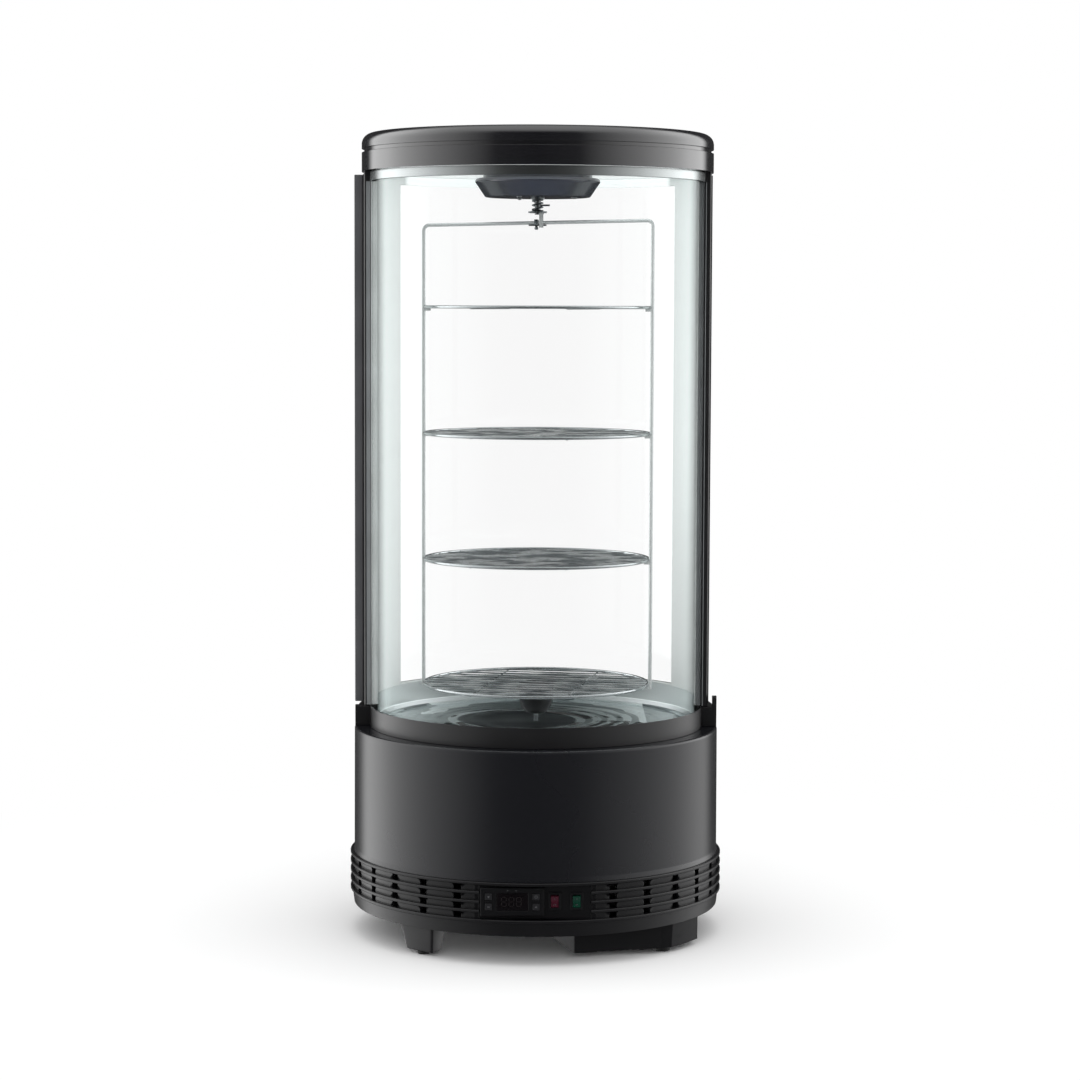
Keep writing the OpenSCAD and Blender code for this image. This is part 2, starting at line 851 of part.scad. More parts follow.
// Foam-filled deck between the machine space and the display
module insulated_deck() {
  color("#d8d8d2")
    translate([0, 0, deck_z - deck_thickness])
      difference() {
        cylinder(r = shell_radius - 12, h = deck_thickness - 1.5 - fit_gap, $fn = 180);
        translate([0, 0, 12])
          cylinder(r = glass_inner - 9, h = deck_thickness, $fn = 180);
        for (p = [riser_at, [0, -evaporator_radius]])
          translate([p[0], p[1], -1])
            cylinder(r = pipe_radius + 2.5, h = 20, $fn = 32);
      }
}

// Evaporator coil under the steel floor
module evaporator() {
  color("#b9bcc0")
    translate([0, 0, coil_z])
      difference() {
        cylinder(r = evaporator_radius, h = evaporator_height, $fn = 96);
        for (r = [40:evaporator_turn + 8:evaporator_radius - evaporator_turn - 8])
          translate([0, 0, -1])
            ring(r + evaporator_turn, r, evaporator_height - 4);
        translate([0, 0, -1])
          cylinder(r = 20, h = evaporator_height + 4, $fn = 48);
      }
}

// Polished steel floor, dished towards a drain, its wall higher along the rear
module floor_pan() {
  edge = floor_edge;
  thickness = floor_thickness;
  color("#c9cccf")
    translate([0, 0, deck_z + fit_gap])
      ring(edge - 5.2, edge - 5.2 - thickness, floor_rise + 2 - thickness - fit_gap + 0.4);
  color("#c9cccf")
    difference() {
      translate([0, 0, floor_z])
        rotate_extrude($fn = 180)
          polygon([
            [0, -thickness],
            [floor_dish_radius, -thickness],
            [floor_dish_radius + 4, 1.2 - thickness],
            [edge - 5, 2 - thickness],
            [edge, 7 - thickness],
            [edge, rear_wall_height],
            [edge - thickness, rear_wall_height],
            [edge - thickness, 7],
            [edge - 5.5, 2],
            [floor_dish_radius + 3.5, 1.2],
            [floor_dish_radius - 0.5, 0],
            [0, 0]
          ]);
      translate([-edge - 1, -edge - 3, floor_z + front_wall_height])
        cube([2 * edge + 2, edge + 1, rear_wall_height]);
      translate([0, 0, floor_z - 4])
        cylinder(r = spindle_radius + pin_fit, h = 8, $fn = 48);
      for (i = [0:4])
        rotate([0, 0, i * 72])
          translate([70, 0, floor_z - 4])
            cylinder(r = 2.5, h = 8, $fn = 24);
    }
}

// Spindle that stands on the deck and centres the carousel's hub
module floor_spindle() {
  color("#b5b8bb")
    translate([0, 0, coil_z])
      union() {
        cylinder(r = spindle_radius, h = floor_z + 28 - coil_z, $fn = 48);
        cylinder(r = 14, h = 3, $fn = 48);
      }
}

// Front half of the collar that carries the glass
module front_collar() {
  color("#232326")
    translate([0, 0, deck_z + fit_gap])
      difference() {
        arc_ring(collar_radius, collar_radius - collar_wall, collar_height - fit_gap, 180 + 5, 360 - 5);
        translate([0, 0, collar_height - fit_gap - 8])
          ring(glass_radius + 0.8, glass_inner - 0.8, 10);
      }
}

// Rear half of the rim, the blocks that the posts stand on and the ear beside the hinge
module rear_rim() {
  outer = shell_radius - 1;
  top = rear_rim_height - fit_gap;
  color("#1d1d20")
    difference() {
      translate([0, 0, deck_z + fit_gap])
        difference() {
          arc_ring(outer, rear_rim_inner, top + ear_height, -block_turn, 180 + block_turn);
          translate([0, 0, top])
            arc_ring(outer - ear_thickness, rear_rim_inner - 1, ear_height + 1, -block_turn - 1, 1);
          translate([0, 0, top])
            arc_ring(outer + 1, rear_rim_inner - 1, ear_height + 1, -ear_turn, 181 + block_turn);
          rotate_extrude(angle = 180, $fn = 180)
            polygon([
              [outer + 2, top - 9.5],
              [outer + 2, top + 3],
              [outer - 6, top + 3]
            ]);
        }
      translate([hinge_x, hinge_y, rear_rim_z - 9])
        cylinder(r = pin_radius + pin_fit, h = 12, $fn = 48);
      for (s = [0, 1])
        mirror([s, 0, 0])
          translate([0, 0, collar_z - 8])
            arc_ring(glass_radius + fit_gap, rear_rim_inner - 1, collar_height, -8, 0.4 - glass_turn);
    }
}

// One post between the side block and the lid
module post() {
  low = rear_rim_z + fit_gap;
  translate([0, -post_front, 0])
    difference() {
      translate([post_inner, 0, low])
        cube([post_depth, post_width, lid_plate_z - fit_gap - low]);
      translate([post_inner - 1, -1, low - 1])
        cube([glass_radius - post_inner + 1 + fit_gap + 0.6, 4.5, lid_plate_z]);
      translate([post_outer - 2, -1, low - 1])
        rotate([0, 0, -20])
          cube([6, 6, lid_plate_z]);
      translate([0, post_front, lid_z - fit_gap])
        ring(lid_radius + 5, lid_radius - lid_wall - fit_gap, lid_skirt_height);
    }
}

module side_posts() {
  color("#17171a")
    for (s = [0, 1])
      mirror([s, 0, 0])
        post();
}

// Bent half round of clear glass
module front_glass() {
  low = collar_z - 7;
  color("#cfe6e2", 0.3)
    translate([0, 0, low])
      arc_ring(glass_radius, glass_inner, glass_top_z - low, 180 + glass_turn, 360 - glass_turn);
}

// Rubber strips under the glass and along its two sides
module glass_seals() {
  color("#0c0c0c")
    union() {
      translate([0, 0, collar_z - 7.6])
        arc_ring(glass_radius - 0.6, glass_inner + 0.6, 0.5, 180 + trim_turn, 360 - trim_turn);
      for (a = [seal_turn, 180 - seal_turn - 0.4])
        rotate([0, 0, 180 + a])
          translate([glass_inner - seal_thickness - fit_gap, -0.9, collar_z + 1])
            cube([seal_thickness, 2.6, glass_top_z - collar_z - 4]);
    }
}

// Bright channel along the top edge of the front glass
module glass_trim() {
  color("#d5d8da")
    translate([0, 0, trim_z])
      difference() {
        arc_ring(glass_radius + 1.9, glass_inner - 1.9, trim_height, 180 + trim_turn, 360 - trim_turn);
        translate([0, 0, -1])
          ring(glass_radius + fit_gap, glass_inner - fit_gap, glass_top_z - trim_z + 1 + fit_gap);
      }
}

// White ceiling over the display
module ceiling_panel() {
  color("#f2f2ef")
    translate([0, 0, ceiling_z])
      ring(post_inner - 2, cover_radius - 8, 2.5);
}

// Steel plate under the lid that ties the posts together and carries the motor
module lid_plate() {
  color("#8d9094")
    difference() {
      translate([0, 0, lid_plate_z])
        cylinder(r = lid_radius - lid_wall - fit_gap, h = 2.5, $fn = 180);
      translate([0, 0, lid_plate_z - 1])
        cylinder(r = 15, h = 5, $fn = 64);
      translate([hinge_x, hinge_y, lid_plate_z - 1])
        cylinder(r = pin_radius + 3, h = 5, $fn = 48);
    }
}

// Lower moulding of the lid
module lid_skirt() {
  color("#141416")
    difference() {
      union() {
        translate([0, 0, lid_z])
          ring(lid_radius, lid_radius - lid_wall, lid_skirt_height);
        translate([0, 0, groove_z - lid_wall])
          ring(lid_radius, lid_radius - 20, lid_wall);
        translate([hinge_x, hinge_y, lid_z])
          cylinder(r = pin_radius + 2.6, h = 12, $fn = 48);
      }
      translate([hinge_x, hinge_y, lid_z - 1])
        cylinder(r = pin_radius + pin_fit, h = 10, $fn = 48);
    }
}

// Upper moulding of the lid, set above the shadow groove
module lid_top() {
  steps = 12;
  lid_room = lid_groove_height + lid_top_height - lid_wall + 1;
  shoulder = [for (i = [0:steps])
    [lid_radius - lid_shoulder + lid_shoulder * cos(i * 90 / steps),
     lid_top_height - lid_shoulder + lid_shoulder * sin(i * 90 / steps)]];
  color("#17171a")
    translate([0, 0, lid_top_z])
      difference() {
        union() {
          rotate_extrude($fn = 180)
            polygon(concat([[0, 0], [lid_radius, 0]], shoulder, [[0, lid_top_height]]));
          translate([0, 0, -lid_groove_height + fit_gap])
            cylinder(r = lid_radius - lid_groove_depth, h = lid_groove_height, $fn = 180);
        }
        translate([0, 0, -lid_groove_height - 1])
          cylinder(r = lid_radius - lid_groove_depth - lid_wall, h = lid_room, $fn = 180);
      }
}

// Gear motor that turns the carousel
module gear_motor() {
  low = lid_plate_z + 2.5;
  color("#a9abad")
    difference() {
      union() {
        translate([0, 0, low])
          cylinder(r = motor_radius, h = gearbox_height, $fn = 64);
        translate([0, 0, low + gearbox_height])
          cylinder(r = motor_radius - 6, h = groove_z - low - gearbox_height + 19, $fn = 64);
        for (s = [-1, 1])
          translate([s * (motor_radius + 4), 0, low])
            cylinder(r = 8, h = 2, $fn = 32);
      }
      translate([0, 0, low - 1])
        cylinder(r = shaft_radius + pin_fit, h = 13, $fn = 48);
    }
}

// Conical cover under the motor
module motor_cover() {
  wall = 2;
  lip_low = 18;
  lip_high = lip_low + 5;
  top = cover_height - 1;
  color("#0d0d0f")
    difference() {
      translate([0, 0, cover_z])
        rotate_extrude()
          polygon([
            [0, 0],
            [cover_bottom_radius - 1.5, 0],
            [cover_bottom_radius, 1],
            [cover_radius - 0.6, lip_low - 1],
            [cover_radius, lip_low],
            [cover_radius, lip_high - 2.5],
            [cover_radius - 2.5, lip_high],
            [cover_radius - 10, lip_high],
            [cover_radius - 10, top],
            [cover_radius - 10 - wall, top],
            [cover_radius - 10 - wall, lip_low + 1],
            [cover_bottom_radius - 3, wall],
            [0, wall]
          ]);
      translate([0, 0, cover_z - 1])
        cylinder(r = shaft_radius + 1, h = wall + 2, $fn = 48);
    }
}

// Drive shaft with its collar and cross pin
module drive_shaft() {
  low = washer_z + washer_thickness + lift_travel + fit_gap;
  pin_z = spring_bottom + spring_rise * 0.5;
  color("#b9bcbf")
    union() {
      translate([0, 0, washer_z - 2])
        cylinder(r = shaft_radius - 0.5, h = low - washer_z + 3, $fn = 48);
      translate([0, 0, low])
        cylinder(r = shaft_radius, h = lid_plate_z + 12 - low, $fn = 48);
      translate([0, 0, spring_top + spring_wire + 0.1])
        cylinder(r = 8.5, h = 1.6, $fn = 48);
      rotate([0, 0, -rest_turn])
        translate([0, 0, pin_z])
          rotate([0, 90, 0])
            cylinder(r = 1.1, h = 15, $fn = 24);
    }
}

// Centre line of the coupling spring
function spring_point(t) = [
  spring_radius * cos(t * 360 * spring_turns + 90 - rest_turn),
  spring_radius * sin(t * 360 * spring_turns + 90 - rest_turn),
  spring_bottom + spring_rise * t
];

// Points of one six-sided ring around the centre line
function spring_ring(t) =
  let (a = t * 360 * spring_turns + 90 - rest_turn)
  [for (k = [0:5])
    spring_point(t) + spring_wire * (cos(k * 60) * [cos(a), sin(a), 0] + sin(k * 60) * [0, 0, 1])];

spring_rings = ceil(spring_turns * 16);
spring_gap = spring_rise / spring_turns - 2 * spring_wire;
echo(spring_least_gap = spring_gap);

// Compression spring around the shaft, one unbroken tube
module coupling_spring() {
  rows = [for (i = [0:spring_rings]) spring_ring(i / spring_rings)];
  points = [for (row = rows) for (p = row) p];
  walls = [for (i = [0:spring_rings - 1]) for (k = [0:5])
    each [[i * 6 + k, i * 6 + (k + 1) % 6, i * 6 + 6 + k],
          [i * 6 + (k + 1) % 6, i * 6 + 6 + (k + 1) % 6, i * 6 + 6 + k]]];
  last = spring_rings * 6;
  caps = [for (k = [1:4]) each [[0, k + 1, k], [last, last + k, last + k + 1]]];
  color("#c6c9cc")
    polyhedron(points = points, faces = concat(walls, caps), convexity = 4);
}

module hanger_washer() {
  color("#b0b3b6")
    translate([0, 0, washer_z])
      ring(washer_radius, shaft_radius - 0.5 + pin_fit, washer_thickness);
}

// Turns its children to the carousel's rest position
module at_rest_turn() {
  rotate([0, 0, -rest_turn])
    children();
}

// Height of the top bar's middle line at a distance along the bar
function bar_z(x) = frame_z + x * tan(bar_slope);

// Bent strip between the washer and the top bar
module hanger_strip() {
  color("#a7aaad")
    at_rest_turn()
      difference() {
        union() {
          translate([strip_x - 2, -strip_width / 2 - 4, bar_z(strip_x) - frame_wire - 4])
            cube([strip_width, 1.6, washer_z - bar_z(strip_x) + frame_wire + 4]);
          translate([strip_x - 2, -strip_width / 2 - 4, washer_z - 1.6])
            cube([strip_width, 6, 1.6]);
        }
        translate([0, 0, washer_z - 10])
          cylinder(r = shaft_radius, h = 12, $fn = 48);
      }
}

// Small clamp that ties the top bar to the strip
module bar_clip() {
  low = bar_z(0) - frame_wire - clip_height + 0.4;
  color("#9b9ea1")
    at_rest_turn()
      difference() {
        union() {
          translate([-11, -strip_width / 2 - 2.4, low])
            cube([22, strip_width + 4.8, clip_height]);
          translate([-4, -strip_width / 2 - 2.4, low])
            cube([5, strip_width + 4.8, clip_height + 2 * frame_wire + 1.6]);
          translate([-1.5, 0, low - 1.6])
            cylinder(r = 2.4, h = 2, $fn = 24);
        }
        translate([0, 0, frame_z])
          rotate([0, -bar_slope, 0])
            translate([-20, 0, 0])
              rotate([0, 90, 0])
                cylinder(r = frame_wire + 0.05, h = 40, $fn = 48);
      }
}

// Quarter bend of the carrier's wire, closed by a ball at each end
module frame_corner() {
  rotate([90, 0, 0])
    rotate_extrude(angle = 90, $fn = 64)
      translate([frame_bend, 0])
        circle(r = frame_wire, $fn = 24);
  for (p = [[frame_bend, 0, 0], [0, 0, frame_bend]])
    translate(p)
      sphere(r = frame_wire + 0.03, $fn = 24);
}

// Upside-down U of round wire that carries the shelves
module carrier_frame() {
  span = frame_half - frame_bend;
  foot_z = lowest_shelf_z - rim_wire - 3;
  color("#b4b7ba")
    at_rest_turn()
      union() {
        wire([-span, 0, bar_z(-span)], [span, 0, bar_z(span)], frame_wire);
        for (s = [-1, 1]) {
          translate([s * span, 0, bar_z(s * span) - frame_bend])
            mirror([s < 0 ? 1 : 0, 0, 0])
              frame_corner();
          wire([s * frame_half, 0, foot_z], [s * frame_half, 0, bar_z(s * span) - frame_bend], frame_wire);
        }
      }
}

// Round shelf with a rim, parallel bars and two cross bars under them
module wire_shelf(index) {
  z = lowest_shelf_z + (4 - index) * shelf_pitch;
  pitch = 2 * shelf_radius / (shelf_bars + 1);
  cross = shelf_radius * 0.42;
  color("#c2c5c8")
    translate([0, 0, z])
      at_rest_turn()
        union() {
          rotate_extrude($fn = 128)
            translate([shelf_radius, 0])
              circle(r = rim_wire, $fn = 24);
          for (i = [0:shelf_bars - 1]) {
            y = -shelf_radius + (i + 1) * pitch;
            half = sqrt(shelf_radius * shelf_radius - y * y);
            wire([-half, y, 0], [half, y, 0], bar_wire);
          }
          for (x = [-cross, cross]) {
            half = sqrt(shelf_radius * shelf_radius - x * x);
            wire([x, -half, -1.6 * bar_wire], [x, half, -1.6 * bar_wire], bar_wire);
          }
        }
}

module shelf_1() {
  wire_shelf(1);
}

module shelf_2() {
  wire_shelf(2);
}

module shelf_3() {
  wire_shelf(3);
}

module shelf_4() {
  wire_shelf(4);
}

// Small saddles on the legs that the shelf rims rest on
module shelf_clips() {
  color("#9fa2a5")
    at_rest_turn()
      for (i = [1:4], s = [-1, 1])
        translate([0, 0, lowest_shelf_z + (4 - i) * shelf_pitch])
          mirror([s < 0 ? 1 : 0, 0, 0])
            difference() {
              translate([shelf_radius - 4, -3, -rim_wire - 3])
                cube([9.5, 6, 4.5]);
              rotate_extrude($fn = 128)
                translate([shelf_radius, 0])
                  circle(r = rim_wire + 0.05, $fn = 24);
              translate([frame_half, 0, -rim_wire - 4])
                cylinder(r = frame_wire + 0.05, h = 10, $fn = 24);
              rotate([0, 90, 0])
                cylinder(r = bar_wire + 0.05, h = shelf_radius, $fn = 24);
            }
}

// Black bowl-shaped hub under the lowest shelf
module turning_hub() {
  top = lowest_shelf_z - 1.6 * bar_wire - bar_wire - 0.2;
  low = floor_z + 9;
  color("#0f0f11")
    difference() {
      translate([0, 0, low])
        rotate_extrude()
          polygon([
            [0, 0],
            [hub_radius - 11, 0],
            [hub_radius - 6, 4],
            [hub_radius - 2, 9.5],
            [hub_radius, 15.5],
            [hub_radius, top - low - 6],
            [hub_radius + 1.5, top - low - 5],
            [hub_radius + 1.5, top - low],
            [0, top - low]
          ]);
      translate([0, 0, low - 1])
        cylinder(r = spindle_radius + pin_fit, h = 31.6, $fn = 48);
    }
}

// Moulded door frame with stiles and rails around the glass
module door_frame() {
  height = door_top_z - door_bottom_z;
  low = asin(door_front_y / door_radius) + 0.1;
  color("#1a1a1d")
    difference() {
      translate([0, 0, door_bottom_z])
        arc_ring(door_radius, door_inner, height, low, 180 - low);
      translate([0, 0, door_bottom_z + door_low_rail])
        arc_ring(door_radius + 5, door_inner - 5,
          height - door_low_rail - door_top_rail, door_stile, 180 - door_stile);
      translate([0, 0, door_bottom_z + groove_low])
        arc_ring(door_glass_inner + glass_thickness + fit_gap, door_glass_inner - fit_gap,
          height - groove_low - groove_top, door_stile - 3, 183 - door_stile);
      translate([hinge_x, hinge_y, door_bottom_z - 1])
        cylinder(r = pin_radius, h = 13, $fn = 48);
      translate([hinge_x, hinge_y, door_top_z - 12])
        cylinder(r = pin_radius, h = 13, $fn = 48);
    }
}

module door_glass() {
  color("#cfe6e2", 0.3)
    translate([0, 0, door_bottom_z + groove_low + 0.5])
      arc_ring(door_glass_inner + glass_thickness, door_glass_inner,
        door_top_z - door_bottom_z - groove_low - groove_top - 1, door_stile - 2.6, 182.6 - door_stile);
}

// Light lining on the inside of the two door stiles and the upper rail
module door_liners() {
  length = door_top_z - door_bottom_z - 6;
  color("#d2d5d5")
    translate([0, 0, door_bottom_z + 3])
      difference() {
        arc_ring(door_inner - 0.1, door_inner - 3, length, 3.5, 176.5);
        translate([0, 0, -1])
          arc_ring(door_inner + 1, door_inner - 4, length + 4 - door_top_rail, door_stile, 180 - door_stile);
      }
}

// Rubber strips along the door's lower rail and its two end faces
module door_gasket() {
  color("#3a3b3d")
    translate([0, 0, door_bottom_z + 3])
      union() {
        arc_ring(door_inner - 0.1, door_inner - 2.4,
          door_low_rail - 3.5, door_stile + 0.2, 179.8 - door_stile);
        for (s = [0, 1])
          mirror([s, 0, 0])
            translate([door_inner + 0.6, door_front_y - 1.3, 0])
              cube([6, 1.4, door_top_z - door_bottom_z - 6]);
      }
}

// Full-height grip along the free edge of the door
module door_grip() {
  edge = 180 - asin(door_front_y / door_radius) - 0.1;
  low = door_bottom_z + 1;
  length = door_top_z - 0.5 - low;
  color("#131315")
    translate([0, 0, low])
      difference() {
        arc_ring(door_radius + grip_reach, door_radius + 0.05, length, edge - grip_angle, edge);
        translate([0, 0, -1])
          arc_ring(door_radius + grip_reach - 3, door_radius + 2.4,
            length + 2, edge - grip_angle - 1, edge - 1.2);
      }
}

// Steel pins at the top and the bottom of the hinged side
module hinge_pins() {
  color("#a5a8ab")
    for (z = [rear_rim_z - 8, door_top_z - 11.5])
      translate([hinge_x, hinge_y, z])
        cylinder(r = pin_radius, h = 8 + door_gap + 11.5, $fn = 48);
}

bottom_tray();
feet();
foot_pads();
tray_housing();
water_tray();
vent_ring();
control_panel();
thermostat();
thermostat_window();
button_set();
button_down();
button_up();
button_power();
switch_frames();
rocker_red();
rocker_green();
power_inlet();
base_shell();
compressor();
condenser();
fan_shroud();
condenser_fan();
pipework();
insulated_deck();
evaporator();
floor_pan();
floor_spindle();
front_collar();
rear_rim();
side_posts();
front_glass();
glass_seals();
glass_trim();
ceiling_panel();
lid_plate();
lid_skirt();
lid_top();
gear_motor();
motor_cover();
drive_shaft();
coupling_spring();
hanger_washer();
hanger_strip();
bar_clip();
carrier_frame();
shelf_1();
shelf_2();
shelf_3();
shelf_4();
shelf_clips();
turning_hub();
door_frame();
door_glass();
door_liners();
door_gasket();
door_grip();
hinge_pins();
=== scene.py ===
import json
import math

import bmesh
import bpy
from mathutils import Matrix, Vector

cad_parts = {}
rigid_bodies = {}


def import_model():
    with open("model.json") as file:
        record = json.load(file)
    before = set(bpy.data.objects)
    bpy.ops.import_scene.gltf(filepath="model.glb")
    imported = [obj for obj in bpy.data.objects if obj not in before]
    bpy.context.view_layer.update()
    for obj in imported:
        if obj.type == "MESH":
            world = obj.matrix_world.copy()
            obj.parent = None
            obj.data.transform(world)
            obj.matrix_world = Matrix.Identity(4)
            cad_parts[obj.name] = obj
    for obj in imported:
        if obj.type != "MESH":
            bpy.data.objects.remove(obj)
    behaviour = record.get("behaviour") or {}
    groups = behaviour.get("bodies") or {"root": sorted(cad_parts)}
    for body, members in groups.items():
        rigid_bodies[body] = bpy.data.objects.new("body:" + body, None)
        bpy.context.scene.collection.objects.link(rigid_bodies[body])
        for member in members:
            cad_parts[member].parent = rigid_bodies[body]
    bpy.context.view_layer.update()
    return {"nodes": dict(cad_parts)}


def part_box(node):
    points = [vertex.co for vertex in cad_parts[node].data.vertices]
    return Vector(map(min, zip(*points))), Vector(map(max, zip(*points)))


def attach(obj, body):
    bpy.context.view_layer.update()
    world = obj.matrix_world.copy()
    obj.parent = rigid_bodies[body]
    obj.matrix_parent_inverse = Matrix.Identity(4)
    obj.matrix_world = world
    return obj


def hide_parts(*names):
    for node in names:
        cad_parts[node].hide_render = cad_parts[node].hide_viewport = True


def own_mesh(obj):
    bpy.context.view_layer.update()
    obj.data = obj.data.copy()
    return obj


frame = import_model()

nodes = frame["nodes"]
scene = bpy.context.scene

# The studio: the room is plain white to the camera and through the glass. What
# the case mirrors is dark in front and behind it, with a tall soft light at
# each side. The camera is in front, above the middle, looking slightly down.

scene.view_settings.view_transform = "Standard"

look_down, look_aside, tilt = 4.71, -0.071, 0.21
camera = bpy.data.objects.new("camera", bpy.data.cameras.new("camera"))
camera.data.sensor_width = 36
camera.data.lens = 95.07
camera.data.clip_start = 0.1
camera.data.clip_end = 100
camera.matrix_world = (
    Matrix.Translation((0, -3.531, 0.7757))
    @ Matrix.Rotation(math.radians(look_aside), 4, "Z")
    @ Matrix.Rotation(math.radians(90 - look_down), 4, "X")
    @ Matrix.Rotation(math.radians(tilt), 4, "Z")
)
scene.collection.objects.link(camera)
scene.camera = camera


class Signal:
    """An output of a shader node that can be written in sums."""

    def __init__(self, shader, port):
        self.shader = shader
        self.port = port

    def maths(self, operation, *values):
        return self.shader.node("Math", {"operation": operation}, dict(enumerate(values)))

    def __add__(self, other):
        return self.maths("ADD", self, other)

    def __radd__(self, other):
        return self.maths("ADD", other, self)

    def __sub__(self, other):
        return self.maths("SUBTRACT", self, other)

    def __rsub__(self, other):
        return self.maths("SUBTRACT", other, self)

    def __mul__(self, other):
        return self.maths("MULTIPLY", self, other)

    def __rmul__(self, other):
        return self.maths("MULTIPLY", other, self)

    def __truediv__(self, other):
        return self.maths("DIVIDE", self, other)

    def __pow__(self, other):
        return self.maths("POWER", self, other)

    def __abs__(self):
        return self.maths("ABSOLUTE", self)

    def wave(self):
        """A sine wave between 0 and 1."""
        return self.maths("SINE", self) * 0.5 + 0.5

    def above(self, edge, soft):
        """0 below the edge and 1 above it, over a soft width."""
        return self.shader.node(
            "MapRange",
            {"interpolation_type": "SMOOTHSTEP"},
            {0: self, 1: edge - soft / 2, 2: edge + soft / 2, 3: 0.0, 4: 1.0},
        )


class Shader:
    """The nodes of one material or of the world."""

    def __init__(self, owner):
        owner.use_nodes = True
        self.owner = owner
        self.tree = owner.node_tree
        self.tree.nodes.clear()

    def node(self, kind, settings=None, sockets=None, out=0):
        """Adds a node with its settings and sockets, and gives one of its outputs."""
        made = self.tree.nodes.new("ShaderNode" + kind)
        for name, value in (settings or {}).items():
            if name == "stops":
                self.set_stops(made.color_ramp, value)
            else:
                setattr(made, name, value)
        for key, value in (sockets or {}).items():
            port = made.inputs[key]
            if isinstance(value, Signal):
                self.tree.links.new(value.port, port)
            elif port.type == "RGBA" and len(value) == 3:
                port.default_value = (*value, 1.0)
            else:
                port.default_value = value
        return Signal(self, made.outputs[out]) if made.outputs else None

    def set_stops(self, ramp, stops):
        while len(ramp.elements) < len(stops):
            ramp.elements.new(0.5)
        for element, (place, level) in zip(ramp.elements, stops):
            element.position = place
            element.color = (level, level, level, 1.0)

    def mix(self, factor, first, second):
        """Two colours mixed by a signal."""
        return self.node("Mix", {"data_type": "RGBA"}, {0: factor, 6: first, 7: second}, 2)

    def place(self):
        """The point on the piece, in metres."""
        return self.node("TexCoord", {}, {}, 3)

    def stretch(self, point, x, y, z):
        """A point with each of its axes scaled, which draws a texture out."""
        return self.node("VectorMath", {"operation": "MULTIPLY"}, {0: point, 1: (x, y, z)})

    def parts(self, point):
        """The x, y and z of a point."""
        split = self.node("SeparateXYZ", {}, {0: point}).port.node
        return [Signal(self, port) for port in split.outputs]

    def noise(self, point, scale, detail):
        return self.node("TexNoise", {}, {"Vector": point, "Scale": scale, "Detail": detail})

    def bumped(self, *heights, edge=0.0):
        """A normal from pairs of a height signal and its depth in metres, over softened edges."""
        normal = self.node("Bevel", {"samples": 4}, {"Radius": edge}) if edge else None
        for height, depth in heights:
            ports = {"Height": height, "Distance": depth, "Strength": 1.0}
            if normal:
                ports["Normal"] = normal
            normal = self.node("Bump", {}, ports)
        return normal

    def principled(self, **ports):
        named = {key.replace("_", " ").title().replace("Ior", "IOR"): v for key, v in ports.items()}
        return self.node("BsdfPrincipled", {}, named)

    def output(self, surface, kind="OutputMaterial"):
        self.node(kind, {}, {"Surface": surface})
        return self.owner


room = Shader(bpy.data.worlds.new("studio"))
across, back, up = room.parts(room.node("TexCoord", {}, {}, 0))
turn_from_front = across.maths("ARCTAN2", abs(across), 0 - back) / math.pi
sides = room.node(
    "ValToRGB",
    {
        "stops": [
            (0.0, 0.02), (0.15, 0.05), (0.26, 0.38), (0.39, 0.8), (0.53, 1.45), (0.64, 2.1),
            (0.75, 2.1), (0.80, 0.05), (1.0, 0.05),
        ]
    },
    {0: turn_from_front},
)
under_right_light = across.above(0.0, 0.3) * (1 - up.above(-0.08, 0.1))
level = room.mix(under_right_light * 0.5, sides, (0.05,) * 3)
level = room.mix(up.above(0.75, 0.5), level, (0.8,) * 3)
level = room.mix((0 - up).above(0.6, 0.6), level, (0.2, 0.2, 0.21))
ray = room.node("LightPath", {}, {}, 0).port.node
even = room.mix(Signal(room, ray.outputs["Is Diffuse Ray"]), level, (0.95,) * 3)
seen = Signal(room, ray.outputs["Is Camera Ray"]) + Signal(room, ray.outputs["Is Transmission Ray"])
room.output(
    room.node("Background", {}, {0: room.mix(seen, even, (1.0,) * 3), 1: 1.0}), "OutputWorld"
)
scene.world = room.owner


def soft_lamp(name, place, aim, width, height, power):
    """A rectangular soft light that shows neither to the camera nor in a shine."""
    lamp = bpy.data.objects.new(name, bpy.data.lights.new(name, "AREA"))
    lamp.data.shape = "RECTANGLE"
    lamp.data.size = width
    lamp.data.size_y = height
    lamp.data.energy = power
    lamp.location = place
    lamp.rotation_euler = (Vector(aim) - Vector(place)).to_track_quat("-Z", "Y").to_euler()
    lamp.visible_camera = False
    lamp.visible_glossy = False
    scene.collection.objects.link(lamp)


soft_lamp("top_light", (0, -0.3, 2.6), (0, 0, 0.4), 1.6, 1.6, 16)
soft_lamp("front_fill", (0, -3.2, 1.3), (0, 0, 0.5), 2.2, 1.6, 22)

bpy.ops.object.select_all(action="DESELECT")
bpy.ops.mesh.primitive_circle_add(vertices=96, radius=6, fill_type="NGON", location=(0, 0, -0.0005))
floor = bpy.context.object
floor.name = "studio_floor"
paint = Shader(bpy.data.materials.new("floor_paint"))
east, north, _ = paint.parts(paint.place())
far = ((east * east + north * north) ** 0.5).above(0.75, 0.7)
white = paint.node("BsdfDiffuse", {}, {0: (0.92,) * 3})
glow = paint.node("Emission", {}, {0: (1.0,) * 3, 1: 1.0})
shine = Signal(paint, paint.node("LightPath").port.node.outputs["Is Glossy Ray"])
ground = paint.node("MixShader", {}, {0: far, 1: white, 2: glow})
clear = paint.node("BsdfTransparent")
floor.data.materials.append(paint.output(paint.node("MixShader", {}, {0: shine, 1: ground, 2: clear})))

# Bottom tray, three feet and their pads: the black bottom with its upturned
# skirt and the feet are moulded in satin plastic. The rubber pads are pressed
# into the feet, and a fourth stands under the housing of the water tray.


